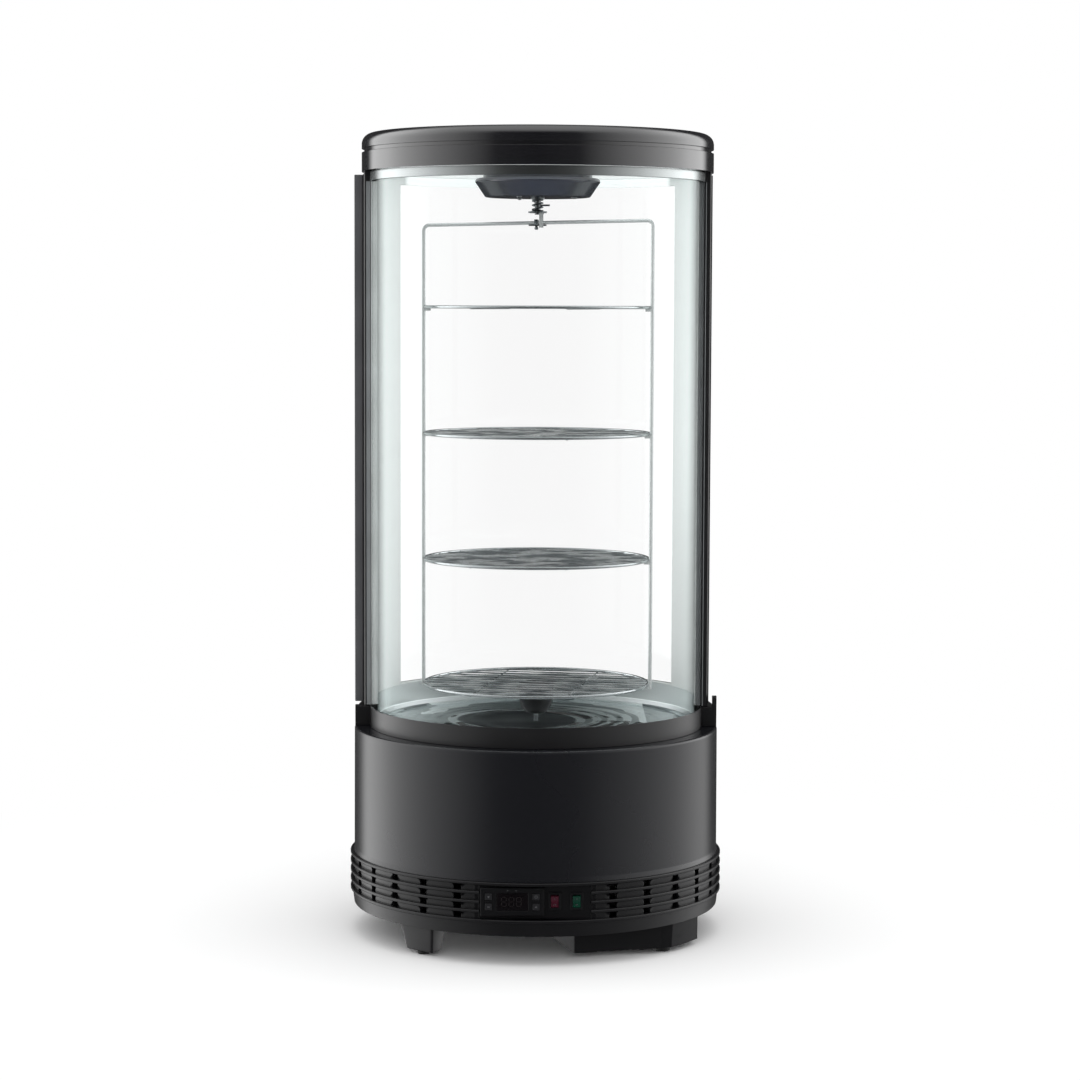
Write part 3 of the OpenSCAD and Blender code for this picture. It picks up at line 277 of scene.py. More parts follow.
def moulded(name, colour, rough, grain=0.00003, **more):
    """Satin plastic from an etched mould, a little polished where hands reach it."""
    shader = Shader(bpy.data.materials.new(name))
    point = shader.place()
    texture = shader.noise(point, 2600, 2.0)
    cloud = shader.noise(point, 14, 3.0)
    scuff = shader.noise(shader.stretch(point, 1, 1, 5), 60, 4.0).above(0.62, 0.2)
    tint = shader.mix(
        cloud.above(0.5, 0.6), tuple(c * 0.88 for c in colour), tuple(min(1, c * 1.12) for c in colour)
    )
    surface = shader.principled(
        base_color=tint,
        roughness=rough + (cloud - 0.5) * 0.10 + scuff * 0.04,
        normal=shader.bumped((texture, grain), edge=0.0007),
        **more,
    )
    return shader.output(surface)


def dress(material, *names):
    """Gives CAD nodes their material."""
    for name in names:
        slots = nodes[name].data.materials
        slots.clear()
        slots.append(material)


def pick(kind, test):
    """Selects the faces, edges or corners whose middle passes a test."""
    bpy.ops.mesh.select_mode(type=kind)
    bpy.ops.mesh.select_all(action="DESELECT")
    mesh = bpy.context.object.data
    shape = bmesh.from_edit_mesh(mesh)
    for part in {"FACE": shape.faces, "EDGE": shape.edges, "VERT": shape.verts}[kind]:
        corners = [part] if kind == "VERT" else part.verts
        if test(sum((corner.co for corner in corners), Vector()) / len(corners)):
            part.select_set(True)
    if kind == "VERT":
        shape.select_flush(True)
    bmesh.update_edit_mesh(mesh)


def open_piece():
    """Starts a new empty piece and opens it for editing."""
    bpy.ops.object.select_all(action="DESELECT")
    bpy.ops.mesh.primitive_plane_add(size=0.001)
    bpy.ops.object.mode_set(mode="EDIT")
    bpy.ops.mesh.delete(type="VERT")


def outline(points):
    """Draws a line through points in the open piece, corner by corner."""
    bpy.ops.mesh.select_mode(type="VERT")
    bpy.ops.mesh.primitive_plane_add(size=0.001)
    bpy.ops.mesh.merge(type="CENTER")
    at = Vector()
    for i, point in enumerate(map(Vector, points)):
        if i:
            bpy.ops.mesh.extrude_region_move(TRANSFORM_OT_translate={"value": point - at})
        else:
            bpy.ops.transform.translate(value=point)
        at = point
    bpy.ops.mesh.select_linked()


def turned(profile, steps, sweep=360.0):
    """Turns a profile of radius and height points about the upright axis."""
    outline([(radius, 0, height) for radius, height in profile])
    bpy.ops.mesh.spin(steps=steps, angle=math.radians(sweep), center=(0, 0, 0), axis=(0, 0, 1))
    bpy.ops.mesh.select_linked()
    bpy.ops.mesh.remove_doubles(threshold=0.000002)
    bpy.ops.mesh.fill_holes(sides=0)
    bpy.ops.mesh.normals_make_consistent(inside=False)


def block(size, centre):
    """Adds a block of a size to the open piece, and leaves it selected."""
    bpy.ops.mesh.primitive_cube_add(size=1)
    bpy.ops.transform.resize(value=size)
    bpy.ops.transform.translate(value=centre)


def swing(degrees, centre=(0, 0, 0), axis="Z"):
    """Turns what is selected anticlockwise. With no window the operator turns the other way."""
    bpy.ops.transform.rotate(value=-math.radians(degrees), orient_axis=axis, center_override=centre)


def soften(width, segments=3, angle=35):
    """Rounds the sharp edges of the open piece."""
    bpy.ops.object.mode_set(mode="OBJECT")
    rounding = bpy.context.object.modifiers.new("rounding", "BEVEL")
    rounding.width = width
    rounding.segments = segments
    rounding.limit_method = "ANGLE"
    rounding.angle_limit = math.radians(angle)
    bpy.ops.object.modifier_apply(modifier=rounding.name)
    bpy.ops.object.mode_set(mode="EDIT")
    bpy.ops.mesh.select_all(action="SELECT")


def settle(name, finish, body, slot, *stands_for):
    """Closes the open piece, names it, dresses it and fixes it to its body."""
    bpy.ops.object.mode_set(mode="OBJECT")
    piece = bpy.context.object
    piece.name = piece.data.name = name
    if not piece.data.materials:
        piece.data.materials.append(finish)
    bpy.ops.object.shade_smooth_by_angle(angle=math.radians(32))
    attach(piece, body)
    if stands_for:
        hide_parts(*stands_for)
    return piece


black_moulding = moulded("black_moulding", (0.0045, 0.0045, 0.0055), 0.34, ior=1.5)
dress(black_moulding, "bottom_tray", "vent_ring")
matt_moulding = moulded("matt_moulding", (0.0045, 0.0045, 0.0055), 0.58, ior=1.35)
dress(matt_moulding, "tray_housing", "water_tray")
rubber = moulded("rubber", (0.012, 0.012, 0.012), 0.72, 0.00006)
dress(rubber, "foot_pads")

foot_low, foot_top, foot_radius = 0.004, 0.035, 0.208
foot_sweep, foot_place = 11.1, 50
open_piece()
turned(
    [(0.199, foot_low), (0.217, foot_low), (0.222, foot_top), (0.194, foot_top), (0.199, foot_low)],
    10, foot_sweep,
)
swing(foot_sweep / 2)
pick("VERT", lambda p: p.z > foot_top - 0.001)
bpy.ops.transform.resize(value=(1, 1.22, 1), center_override=(foot_radius, 0, foot_top))
soften(0.0022)
swing(foot_place)
for flip in ((-1, 1, 1), (1, -1, 1)):
    bpy.ops.mesh.duplicate()
    bpy.ops.transform.resize(value=flip, center_override=(0, 0, 0))
bpy.ops.mesh.select_all(action="SELECT")
bpy.ops.mesh.normals_make_consistent(inside=False)
settle("moulded_feet", black_moulding, "cabinet", "black_moulding", "feet")

# Controls: a flat black panel is screwed into the vent ring. A panel
# thermostat with a smoked window and four rubbery keys snaps into it from the
# front, and so do two rocker switches in their frames.

panel_black = moulded("panel_black", (0.0035, 0.0035, 0.0045), 0.36)
dress(panel_black, "control_panel", "condenser_fan")
grey_keys = moulded("grey_keys", (0.010, 0.010, 0.012), 0.5)
key_marks = moulded("key_marks", (0.06, 0.06, 0.065), 0.45)
dark_lens = moulded("dark_lens", (0.0030, 0.0022, 0.0028), 0.10, 0.000004)
dark_digits = moulded("dark_digits", (0.009, 0.006, 0.007), 0.3, 0.000004)
red_lens = moulded("red_lens", (0.036, 0.004, 0.010), 0.16, 0.000004)
green_lens = moulded("green_lens", (0.0015, 0.026, 0.015), 0.16, 0.000004)

panel_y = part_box("control_panel")[0][1]
meter_low, meter_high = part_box("thermostat")
meter_x = (meter_low[0] + meter_high[0]) / 2
meter_z = (meter_low[2] + meter_high[2]) / 2
bezel_face = meter_low[1]
bezel_back = panel_y - 0.0003


def cut(place, direction):
    """Cuts the open piece through a place, square to a direction."""
    bpy.ops.mesh.select_all(action="SELECT")
    bpy.ops.mesh.bisect(plane_co=place, plane_no=direction)


def marked(finish):
    """Gives what is selected a finish of its own."""
    piece = bpy.context.object
    if finish.name not in piece.data.materials:
        piece.data.materials.append(finish)
    piece.active_material_index = piece.data.materials.find(finish.name)
    bpy.ops.object.material_slot_assign()


# How close to a plane the middle of a face has to lie to be picked.
near = 0.0001
bezel_width, bezel_height = 0.075, 0.033
case_width, case_depth, case_height = 0.0694, 0.048, 0.0274
window_x, window_z = 0.0188, 0.0108
key_x, key_z = 0.028, 0.006
key_half_x, key_half_z = 0.00455, 0.0043
pocket_depth = 0.0040
lamp_radius, lamp_z = 0.0009, 0.0134
open_piece()
block(
    (bezel_width, bezel_back - bezel_face, bezel_height),
    (meter_x, (bezel_back + bezel_face) / 2, meter_z),
)
bpy.context.object.data.materials.append(panel_black)
for x in (window_x, key_x - key_half_x, key_x + key_half_x):
    cut((meter_x + x, 0, 0), (1, 0, 0))
    cut((meter_x - x, 0, 0), (1, 0, 0))
for z in (window_z, key_z - key_half_z, key_z + key_half_z):
    cut((0, 0, meter_z + z), (0, 0, 1))
    cut((0, 0, meter_z - z), (0, 0, 1))


def in_window(p):
    return abs(p.x - meter_x) < window_x and abs(p.z - meter_z) < window_z


def in_key(p):
    return abs(abs(p.x - meter_x) - key_x) < key_half_x and abs(abs(p.z - meter_z) - key_z) < key_half_z


pick("FACE", lambda p: p.y < bezel_face + near and (in_window(p) or in_key(p)))
bpy.ops.mesh.extrude_region_move(TRANSFORM_OT_translate={"value": (0, pocket_depth, 0)})
bpy.ops.mesh.select_all(action="SELECT")
# The cuts leave their corners in another order each run, and which flat edges
# the next operator keeps hangs on it, so all are sorted from one place first.
scene.cursor.location = (1.0, 2.0, 3.0)
bpy.ops.mesh.sort_elements(type="CURSOR_DISTANCE", elements={"VERT", "EDGE", "FACE"})
scene.cursor.location = (0.0, 0.0, 0.0)
bpy.ops.mesh.dissolve_limited(angle_limit=0.01)
soften(0.0009)
block((case_width, case_depth, case_height), (meter_x, bezel_back + case_depth / 2, meter_z))
for x in (-0.0055, 0.0045):
    bpy.ops.mesh.primitive_uv_sphere_add(
        segments=16, ring_count=8, radius=lamp_radius,
        location=(meter_x + x, bezel_face + 0.0005, meter_z + lamp_z),
    )
    marked(key_marks)
settle("panel_thermostat", panel_black, "cabinet", "black_moulding", "thermostat")

lens_low, lens_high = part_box("thermostat_window")
open_piece()
block(
    tuple(high - low for low, high in zip(lens_low, lens_high)),
    tuple((low + high) / 2 for low, high in zip(lens_low, lens_high)),
)
soften(0.0004)
settle("display_window", dark_lens, "cabinet", "dark_lens", "thermostat_window")

digit_width, digit_height, digit_pitch = 0.0056, 0.0105, 0.0088
segment, print_depth = 0.0011, 0.0001
open_piece()
for digit in (-1, 0, 1):
    middle = meter_x + digit * digit_pitch - 0.001
    for side, row in ((-1, -1), (-1, 1), (1, -1), (1, 1)):
        block(
            (segment, print_depth, digit_height / 2 - segment * 1.3),
            (middle + side * digit_width / 2, lens_low[1], meter_z + row * digit_height / 4),
        )
    for row in (-1, 0, 1):
        block(
            (digit_width - segment * 1.3, print_depth, segment),
            (middle, lens_low[1], meter_z + row * digit_height / 2),
        )
bpy.ops.mesh.select_all(action="SELECT")
settle("display_digits", dark_digits, "cabinet", "dark_lens")

key_width, key_depth, key_height, key_dip = 0.0085, 0.0036, 0.008, 0.0002
facing_front = (math.pi / 2, 0, 0)
for key, mark in (("set", "bar"), ("down", "arrow down"), ("up", "arrow up"), ("power", "ring")):
    low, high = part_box(f"button_{key}")
    centre = ((low[0] + high[0]) / 2, low[1] + key_dip, (low[2] + high[2]) / 2)
    open_piece()
    block((key_width, key_depth, key_height), (centre[0], low[1] + key_depth / 2, centre[2]))
    bpy.context.object.data.materials.append(grey_keys)
    pick("FACE", lambda p: p.y < low[1] + near)
    bpy.ops.mesh.inset(thickness=0.0012)
    bpy.ops.transform.translate(value=(0, key_dip, 0))
    soften(0.0007)
    if mark == "bar":
        block((0.0034, key_dip, 0.0008), centre)
    elif mark == "ring":
        bpy.ops.mesh.primitive_torus_add(
            major_segments=24, minor_segments=6, major_radius=0.0015, minor_radius=0.0003,
            location=centre, rotation=facing_front,
        )
    else:
        bpy.ops.mesh.primitive_cylinder_add(
            vertices=3, radius=0.0017, depth=key_dip, location=centre, rotation=facing_front
        )
        upward = 1 if mark == "arrow up" else -1
        bpy.ops.transform.resize(value=(1, 1, upward), center_override=centre)
    marked(key_marks)
    bpy.ops.mesh.select_all(action="SELECT")
    bpy.ops.mesh.normals_make_consistent(inside=False)
    settle(f"button_{key}_key", grey_keys, f"{key}_button", "grey_button", f"button_{key}")

frame_low, frame_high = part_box("switch_frames")
frame_width, frame_height, flange = 0.015, 0.021, 0.002
switch_x = (frame_low[0] + frame_width / 2, frame_high[0] - frame_width / 2)
switch_z = (frame_low[2] + frame_high[2]) / 2
frame_face = frame_low[1]
open_piece()
for x in switch_x:
    block((frame_width, flange, frame_height), (x, frame_face + flange / 2, switch_z))
pick("FACE", lambda p: p.y > frame_face + flange - near)
bpy.ops.mesh.inset(thickness=0.0013)
bpy.ops.mesh.extrude_region_move(TRANSFORM_OT_translate={"value": (0, 0.0155, 0)})
pick("FACE", lambda p: p.y < frame_face + near)
bpy.ops.mesh.inset(thickness=0.0025)
bpy.ops.mesh.extrude_region_move(TRANSFORM_OT_translate={"value": (0, 0.0135, 0)})
bpy.ops.mesh.select_all(action="SELECT")
bpy.ops.mesh.normals_make_consistent(inside=False)
soften(0.0005)
settle("snap_in_frames", panel_black, "cabinet", "black_moulding", "switch_frames")

pivot_y = panel_y + 0.0015
cap_half, cap_width, cap_tilt = 0.0074, 0.0092, 9
for colour, x, lens in (("red", switch_x[0], red_lens), ("green", switch_x[1], green_lens)):
    face = [(-0.0027 - 0.0015 * (i / 6) ** 2, cap_half * 0.91 * i / 6) for i in range(-6, 7)]
    rim = [(-0.001, cap_half), (0.0045, 0), (-0.001, -cap_half)]
    open_piece()
    outline([(x - cap_width / 2, pivot_y + y, switch_z + z) for y, z in face + rim])
    bpy.ops.mesh.edge_face_add()
    bpy.ops.mesh.extrude_region_move(TRANSFORM_OT_translate={"value": (cap_width, 0, 0)})
    bpy.ops.mesh.select_all(action="SELECT")
    bpy.ops.mesh.normals_make_consistent(inside=False)
    bpy.context.object.data.materials.append(lens)
    soften(0.0004, 3, 50)
    block((0.0004, 0.0002, 0.0024), (x, pivot_y - 0.00335, switch_z + 0.0040))
    marked(key_marks)
    bpy.ops.mesh.primitive_torus_add(
        major_segments=20, minor_segments=6, major_radius=0.0012, minor_radius=0.00018,
        location=(x, pivot_y - 0.00330, switch_z - 0.0040), rotation=facing_front,
    )
    marked(key_marks)
    bpy.ops.mesh.select_all(action="SELECT")
    swing(cap_tilt, (x, pivot_y, switch_z), "X")
    settle(f"rocker_{colour}_cap", lens, f"{colour}_rocker", f"{colour}_lens", f"rocker_{colour}")

# Shell of the base: a rolled steel sheet with an inward flange, powder-coated
# satin black. It stands in the vent ring and carries the insulated deck.


def painted(name, colour, rough, ior, peel):
    """Sprayed black paint with a slight orange peel and faint clouds."""
    shader = Shader(bpy.data.materials.new(name))
    point = shader.place()
    skin = shader.noise(point, 260, 1.0)
    cloud = shader.noise(point, 6, 3.0)
    surface = shader.principled(
        base_color=shader.mix(cloud, tuple(c * 0.9 for c in colour), tuple(c * 1.1 for c in colour)),
        roughness=rough + (cloud - 0.5) * 0.04,
        ior=ior,
        normal=shader.bumped((skin, peel), edge=0.0008),
    )
    return shader.output(surface)


powder_black = painted("powder_black", (0.0056, 0.0060, 0.0084), 0.27, 1.65, 0.000005)
dress(powder_black, "base_shell", "compressor")

# Machine space: a hermetic compressor, a finned condenser with its fan and
# shroud, and the copper line up to the evaporator stand on the bottom tray.


def metal(name, colour, rough, grain=0.000004, brushed=(1, 1, 12), bare=1.0):
    """Bare or plated metal with fine polishing marks and faint stains."""
    shader = Shader(bpy.data.materials.new(name))
    point = shader.place()
    cloud = shader.noise(point, 22, 3.0)
    marks = shader.noise(shader.stretch(point, *brushed), 420, 3.0)
    tint = shader.mix(marks, tuple(c * 0.90 for c in colour), tuple(min(1, c * 1.08) for c in colour))
    surface = shader.principled(
        base_color=tint,
        metallic=bare,
        roughness=rough + (marks - 0.5) * 0.08 + (cloud - 0.5) * 0.06,
        normal=shader.bumped((marks, grain)),
    )
    return shader.output(surface)


zinc = metal("zinc", (0.4, 0.41, 0.42), 0.4, 0.00001, (1, 1, 1))
dress(zinc, "lid_plate", "gear_motor", "fan_shroud")
dress(metal("fins", (0.5, 0.5, 0.5), 0.35, 0.0002, (0, 60, 0)), "condenser")
dress(metal("coil_metal", (0.5, 0.5, 0.5), 0.35), "evaporator")
dress(metal("copper", (0.62, 0.30, 0.17), 0.3), "pipework")
dress(moulded("foam", (0.66, 0.66, 0.60), 0.6, 0.0001), "insulated_deck")

# Power inlet: a moulded socket with three flat pins, snapped into the rear of
# the vent ring. The loose lead that plugs into it isn't part of the case.

inlet_low, inlet_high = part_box("power_inlet")
inlet_y = (inlet_low[1] + inlet_high[1]) / 2
inlet_z = (inlet_low[2] + inlet_high[2]) / 2
inlet_face = inlet_high[1]
socket_size, socket_wall, socket_depth = (0.048, 0.024, 0.030), 0.0055, 0.018
pin_size, pin_pitch, earth_lift = (0.002, 0.013, 0.004), 0.007, 0.003
open_piece()
block(socket_size, (0, inlet_y, inlet_z))
bpy.context.object.data.materials.append(panel_black)
pick("FACE", lambda p: p.y > inlet_face - near)
bpy.ops.mesh.inset(thickness=socket_wall)
bpy.ops.transform.resize(value=(0.72, 1, 1), center_override=(0, inlet_face, inlet_z))
bpy.ops.mesh.extrude_region_move(TRANSFORM_OT_translate={"value": (0, -socket_depth, 0)})
soften(0.0012)
for x, lift in ((-pin_pitch, 0), (0, earth_lift), (pin_pitch, 0)):
    block(pin_size, (x, inlet_face - 0.0115, inlet_z + lift))
    marked(zinc)
settle("inlet_socket", panel_black, "cabinet", "black_moulding", "power_inlet")

# Display floor: one pressing of polished stainless steel, shallowly dished
# with rolled rings, turned up along the edge into a wall that is taller
# behind, where the door closes against it. The hub turns on its spindle.

floor_z = 0.2595
floor_edge = 0.198
sheet = 0.0012


def polished_floor():
    """Polished sheet with a satin wall.

    Seen at a flat angle it has what a polished floor mirrors drawn on it: a dark
    dish with a bright lip, arcs beside the dish, and a bright patch at each side.
    """
    shader = Shader(bpy.data.materials.new("polished_floor"))
    point = shader.place()
    x, y, z = shader.parts(point)
    marks = shader.noise(shader.stretch(point, 1, 1, 12), 420, 3.0)
    swell = shader.noise(shader.stretch(point, 1, 1.6, 1), 11, 1.5)
    lobes = shader.noise(point, 30, 1.5) * 0.05 - 0.025
    wall = z.above(floor_z + 0.0062, 0.0010)
    fillet = z.above(floor_z + 0.0012, 0.0008) * (1 - wall)
    across = ((x + 0.024) * (x + 0.024) + (y - 0.004) * (y - 0.004)) ** 0.5

    right_edge = (across + lobes * 0.4 - (0.121 - x) * 0.25).above(0.154, 0.002)
    left_edge = (across + lobes - (x + 0.12) * 0.68).above(0.113, 0.002)
    right_patch = (x + lobes).above(0.040, 0.006) * (1 - x.above(0.138, 0.001)) * right_edge
    left_patch = (0 - x).above(0.010, 0.002) * (1 - (0 - x + lobes).above(0.136, 0.002)) * left_edge
    patch = (right_patch + left_patch * y.above(0.045, 0.004)) * (1 - wall)
    patch_rim = patch * (1 - patch) * 2.4

    dish = 1 - across.above(0.073, 0.002)
    lip = across.above(0.075, 0.0015) * (1 - across.above(0.086, 0.0015))
    beside_dish = across.above(0.088, 0.002) * (1 - across.above(0.150, 0.003))
    ripple = ((across + lobes * 0.2) * 330.0).wave().above(0.35, 0.25)
    arcs = beside_dish * ripple * x.above(-0.005, 0.03)
    bright = (patch.above(0.5, 0.3) + lip + arcs * 0.75).above(0.5, 0.9)

    dark = shader.mix(marks, (0.09, 0.10, 0.11), (0.14, 0.155, 0.165))
    plain = shader.mix(marks, (0.44, 0.47, 0.48), (0.52, 0.55, 0.56))
    satin = shader.mix(marks, (0.66, 0.71, 0.71), (0.74, 0.79, 0.79))
    # Painted reflection: the dish is drawn dark, lighter toward its middle, and shows only where the
    # floor is seen flat.
    dish_reflection = shader.mix(across.above(0.02, 0.045), (0.20, 0.21, 0.23), (0.035, 0.038, 0.050))
    mirrored = shader.mix(wall, shader.mix(bright, dark, (1.0,) * 3), satin)
    mirrored = shader.mix(patch_rim, shader.mix(dish, mirrored, dish_reflection), (0.10, 0.11, 0.12))
    seen_flat = shader.node("LayerWeight", {}, {0: 0.5}, 1).above(0.66, 0.3)
    surface = shader.principled(
        specular_tint=(0.82, 0.86, 0.86),
        base_color=shader.mix(seen_flat, shader.mix(wall, plain, satin), mirrored),
        metallic=1.0,
        roughness=0.08 + wall * 0.34 + fillet * 0.28 + dish * 0.22 + (marks - 0.5) * 0.05,
        normal=shader.bumped((marks, 0.000003), (swell, 0.0022)),
    )
    return shader.output(surface)


steel_floor = polished_floor()
dress(steel_floor, "floor_spindle")

wall_height, rear_rise = 0.012, 0.019
bowl_depth, bowl_radius, bowl_slope = 0.0012, 0.060, 0.016
ring_height, ring_pitch, ring_start, ring_end = 0.00028, 0.0155, 0.080, 0.157


def floor_height(radius):
    """Height of the pressing over the floor: a shallow bowl in the middle and rolled rings."""
    climb = min(1, max(0, (radius - bowl_radius) / bowl_slope))
    bowl = -bowl_depth * (0.5 + 0.5 * math.cos(math.pi * climb))
    if not ring_start < radius < ring_end:
        return bowl
    return bowl + ring_height * math.cos((radius - ring_start) * 2 * math.pi / ring_pitch)


top = [(r / 1000, floor_z + 0.0004 + floor_height(r / 1000)) for r in range(186, 3, -2)]
under = [(0.004, floor_z - 0.0022), (0.186, floor_z - 0.0010)]
turned_up = [
    (0.193, floor_z + 0.0008), (floor_edge, floor_z + 0.0058), (floor_edge, floor_z + wall_height),
    (floor_edge - sheet, floor_z + wall_height), (floor_edge - sheet, floor_z + 0.007),
    (0.1925, floor_z + 0.002),
]
open_piece()
turned(under + turned_up + top + under[:1], 180)
pick("FACE", lambda p: p.z > floor_z + wall_height - near and p.y > -0.002)
bpy.ops.mesh.extrude_region_move(TRANSFORM_OT_translate={"value": (0, 0, rear_rise)})
settle("pressed_floor", steel_floor, "cabinet", "steel", "floor_pan")

# Collar, rear rim and posts: the black moulded rim that holds the front glass,
# its higher rear half with the hinge ear, and the two posts that carry the lid.

satin_black = moulded("satin_black", (0.009, 0.009, 0.010), 0.32, 0.00002, ior=1.6)
dress(satin_black, "front_collar", "rear_rim", "side_posts", "door_frame")

# Front glass: one sheet bent to a half circle, standing in the collar on a
# rubber strip, with a bright metal channel along its top edge.


def clear_glass(name, tint, edge):
    """Thin bent glass: it lets light through, and mirrors more the flatter it is seen."""
    shader = Shader(bpy.data.materials.new(name))
    slant = shader.node("LayerWeight", {}, {0: 0.5}, 1)
    mirror = slant ** 5.0
    wave = shader.noise(shader.place(), 7, 1.0)
    smear = shader.noise(shader.place(), 30, 4.0).above(0.6, 0.3)
    surface = shader.principled(
        base_color=shader.mix(mirror, tint, edge),
        metallic=1.0,
        roughness=0.03 + smear * 0.03,
        alpha=mirror * 0.9 + 0.018,
        normal=shader.bumped((wave, 0.0002)),
    )
    return shader.output(surface)


glass = clear_glass("clear_glass", (0.86, 0.97, 0.95), (0.72, 0.80, 0.79))
dress(glass, "front_glass", "door_glass")
bright_trim = metal("bright_trim", (0.50, 0.53, 0.53), 0.24, 0.000002, (1, 1, 40))
dress(bright_trim, "glass_trim")

# Sealing of the glass: a clear strip beads each edge of the sheet in its
# rebate; the right bead is coloured grey as painted shade. A thin cover
# strip is pressed over the joint on each post.

clear_strip = moulded("clear_strip", (0.84, 0.88, 0.87), 0.35, 0.00001)
grey_strip = moulded("grey_strip", (0.16, 0.17, 0.175), 0.35, 0.00001)
dress(clear_strip, "glass_seals")
strip_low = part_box("front_collar")[1][2] + 0.0005
strip_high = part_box("glass_trim")[0][2] - 0.0004


def upright(name, finish, slot, start, end, front, back, rounding):
    """One upright strip on the cabinet between two places across and two in depth."""
    open_piece()
    block(
        (end - start, back - front, strip_high - strip_low),
        ((start + end) / 2, (front + back) / 2, (strip_low + strip_high) / 2),
    )
    pick("FACE", lambda p: p.y < front + near / 10)
    bpy.ops.mesh.inset(thickness=rounding * 1.6)
    bpy.ops.transform.translate(value=(0, rounding * 0.5, 0))
    soften(rounding, 3, 20)
    settle(name, finish, "cabinet", slot)


bead_depth = (-0.0113, -0.01005)
cover_depth = (-0.0140, -0.01355)
upright("left_glass_bead", clear_strip, "light_liner", -0.2044, -0.1987, *bead_depth, 0.0003)
# The right bead is the same clear strip, coloured grey as painted shade.
upright("right_glass_bead", grey_strip, "rubber", 0.1987, 0.2044, *bead_depth, 0.0003)
upright("left_cover_strip", grey_strip, "rubber", -0.2102, -0.2049, *cover_depth, 0.0001)
upright("right_cover_strip", grey_strip, "rubber", 0.2064, 0.2073, *cover_depth, 0.0001)

# Lid: a white ceiling under a zinc-plated plate, a black skirt and, above a
# shadow groove, the domed top. Skirt and top are sprayed high-gloss black.


def lacquered_ceiling():
    """White coil-coated sheet with painted shade, greyer toward its two sides where the posts shade it,
    and a painted glow between them.
    """
    shader = Shader(bpy.data.materials.new("white_panel"))
    point = shader.place()
    x = shader.parts(point)[0]
    grain = shader.noise(point, 1800, 2.0)
    cloud = shader.noise(point, 12, 3.0)
    side = abs(x).above(0.166, 0.010)
    white = shader.mix(cloud, (0.86, 0.88, 0.88), (0.90, 0.92, 0.92))
    surface = shader.principled(
        base_color=shader.mix(side, white, (0.60, 0.64, 0.64)),
        # Painted light: the panel glows between its shaded sides, though it is no lamp.
        emission_color=shader.mix(side, (0.93, 1.0, 0.99), (0.0, 0.0, 0.0)),
        emission_strength=0.24,
        roughness=0.36 + cloud * 0.08,
        normal=shader.bumped((grain, 0.000015), edge=0.0006),
    )
    return shader.output(surface)


white_panel = lacquered_ceiling()
dress(white_panel, "ceiling_panel")


def band(inner, outer, low, high):
    """The closed profile of a flat ring."""
    return [(inner, low), (outer, low), (outer, high), (inner, high), (inner, low)]


def rear_arc(profile, steps, sweep):
    """Turns a profile over an arc that is centred on the rear."""
    turned(profile, steps, sweep)
    swing(90 + sweep / 2)


edge_inner, edge_outer = 0.1966, 0.2125
edge_low, edge_high = 0.9377, 0.9422
open_piece()
rear_arc(band(edge_inner, edge_outer, edge_low, edge_high), 72, 168)
soften(0.0005)
settle("rear_ceiling_edge", white_panel, "cabinet", "white_plastic")

gloss_black = painted("gloss_black", (0.0055, 0.0057, 0.0075), 0.13, 2.3, 0.000006)
dress(gloss_black, "lid_skirt", "lid_top")

# Motor and its cover: a gear motor on the lid plate turns the carousel. The
# turned black cover hides it, with a rolled lip and three screws underneath.

cover_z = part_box("motor_cover")[0][2]


def turned_lacquer():
    """Blue-black lacquer rubbed in rings on the lathe, with a painted reflection: lighter where it faces
    the camera.
    """
    shader = Shader(bpy.data.materials.new("turned_lacquer"))
    point = shader.place()
    skin = shader.noise(point, 420, 1.0)
    rubbed = shader.noise(shader.stretch(point, 1, 1, 6), 40, 3.0)
    turned_away = shader.node("LayerWeight", {}, {0: 0.35}, 1).above(0.22, 0.16)
    surface = shader.principled(
        # Painted reflection: the face toward the camera is drawn lighter.
        base_color=shader.mix(turned_away, (0.026, 0.032, 0.052), (0.011, 0.014, 0.025)),
        roughness=0.20 + rubbed * 0.06,
        ior=2.0,
        normal=shader.bumped((skin, 0.00001), edge=0.0008),
    )
    return shader.output(surface)


cover_black = turned_lacquer()
underside = [(0.005, 0), (0.062, 0), (0.0643, 0.0004), (0.0655, 0.0016)]
rolled_lip = [
    (0.0752, 0.0160), (0.0760, 0.0168), (0.0768, 0.0180), (0.0770, 0.0194), (0.0766, 0.0210),
    (0.0755, 0.0223), (0.0738, 0.0230),
]
inside = [
    (0.067, 0.0230), (0.067, 0.031), (0.065, 0.031), (0.065, 0.019), (0.0625, 0.002), (0.005, 0.002),
]
open_piece()
turned([(r, cover_z + z) for r, z in underside + rolled_lip + inside + underside[:1]], 128)
settle("turned_cover", cover_black, "cabinet", "black_gloss", "motor_cover")

screw_radius, head_radius = 0.045, 0.0036
screw_place = (screw_radius, 0, cover_z)
open_piece()
bpy.ops.mesh.primitive_uv_sphere_add(segments=20, ring_count=10, radius=head_radius, location=screw_place)
bpy.ops.transform.resize(value=(1, 1, 0.42), center_override=screw_place)
bpy.context.object.data.materials.append(zinc)
block((0.0044, 0.0009, 0.0008), (screw_radius, 0, cover_z - 0.0013))
marked(rubber)
bpy.ops.mesh.select_all(action="SELECT")
bpy.ops.mesh.spin(steps=3, angle=2 * math.pi, center=(0, 0, 0), axis=(0, 0, 1), dupli=True)
bpy.ops.mesh.select_all(action="SELECT")
bpy.ops.mesh.remove_doubles(threshold=0.000002)
settle("cover_screws", zinc, "cabinet", "zinc")

# Drive: a plated shaft with a cross pin, and around it the compression spring
# that presses the carousel down on its spindle, its end coils closed.

wire_chrome = metal("wire_chrome", (0.78, 0.82, 0.82), 0.26, 0.000002, bare=0.6)
dress(wire_chrome, "hinge_pins")
dress(metal("shaft_steel", (0.34, 0.36, 0.37), 0.3, 0.000003, (12, 12, 1)), "drive_shaft")

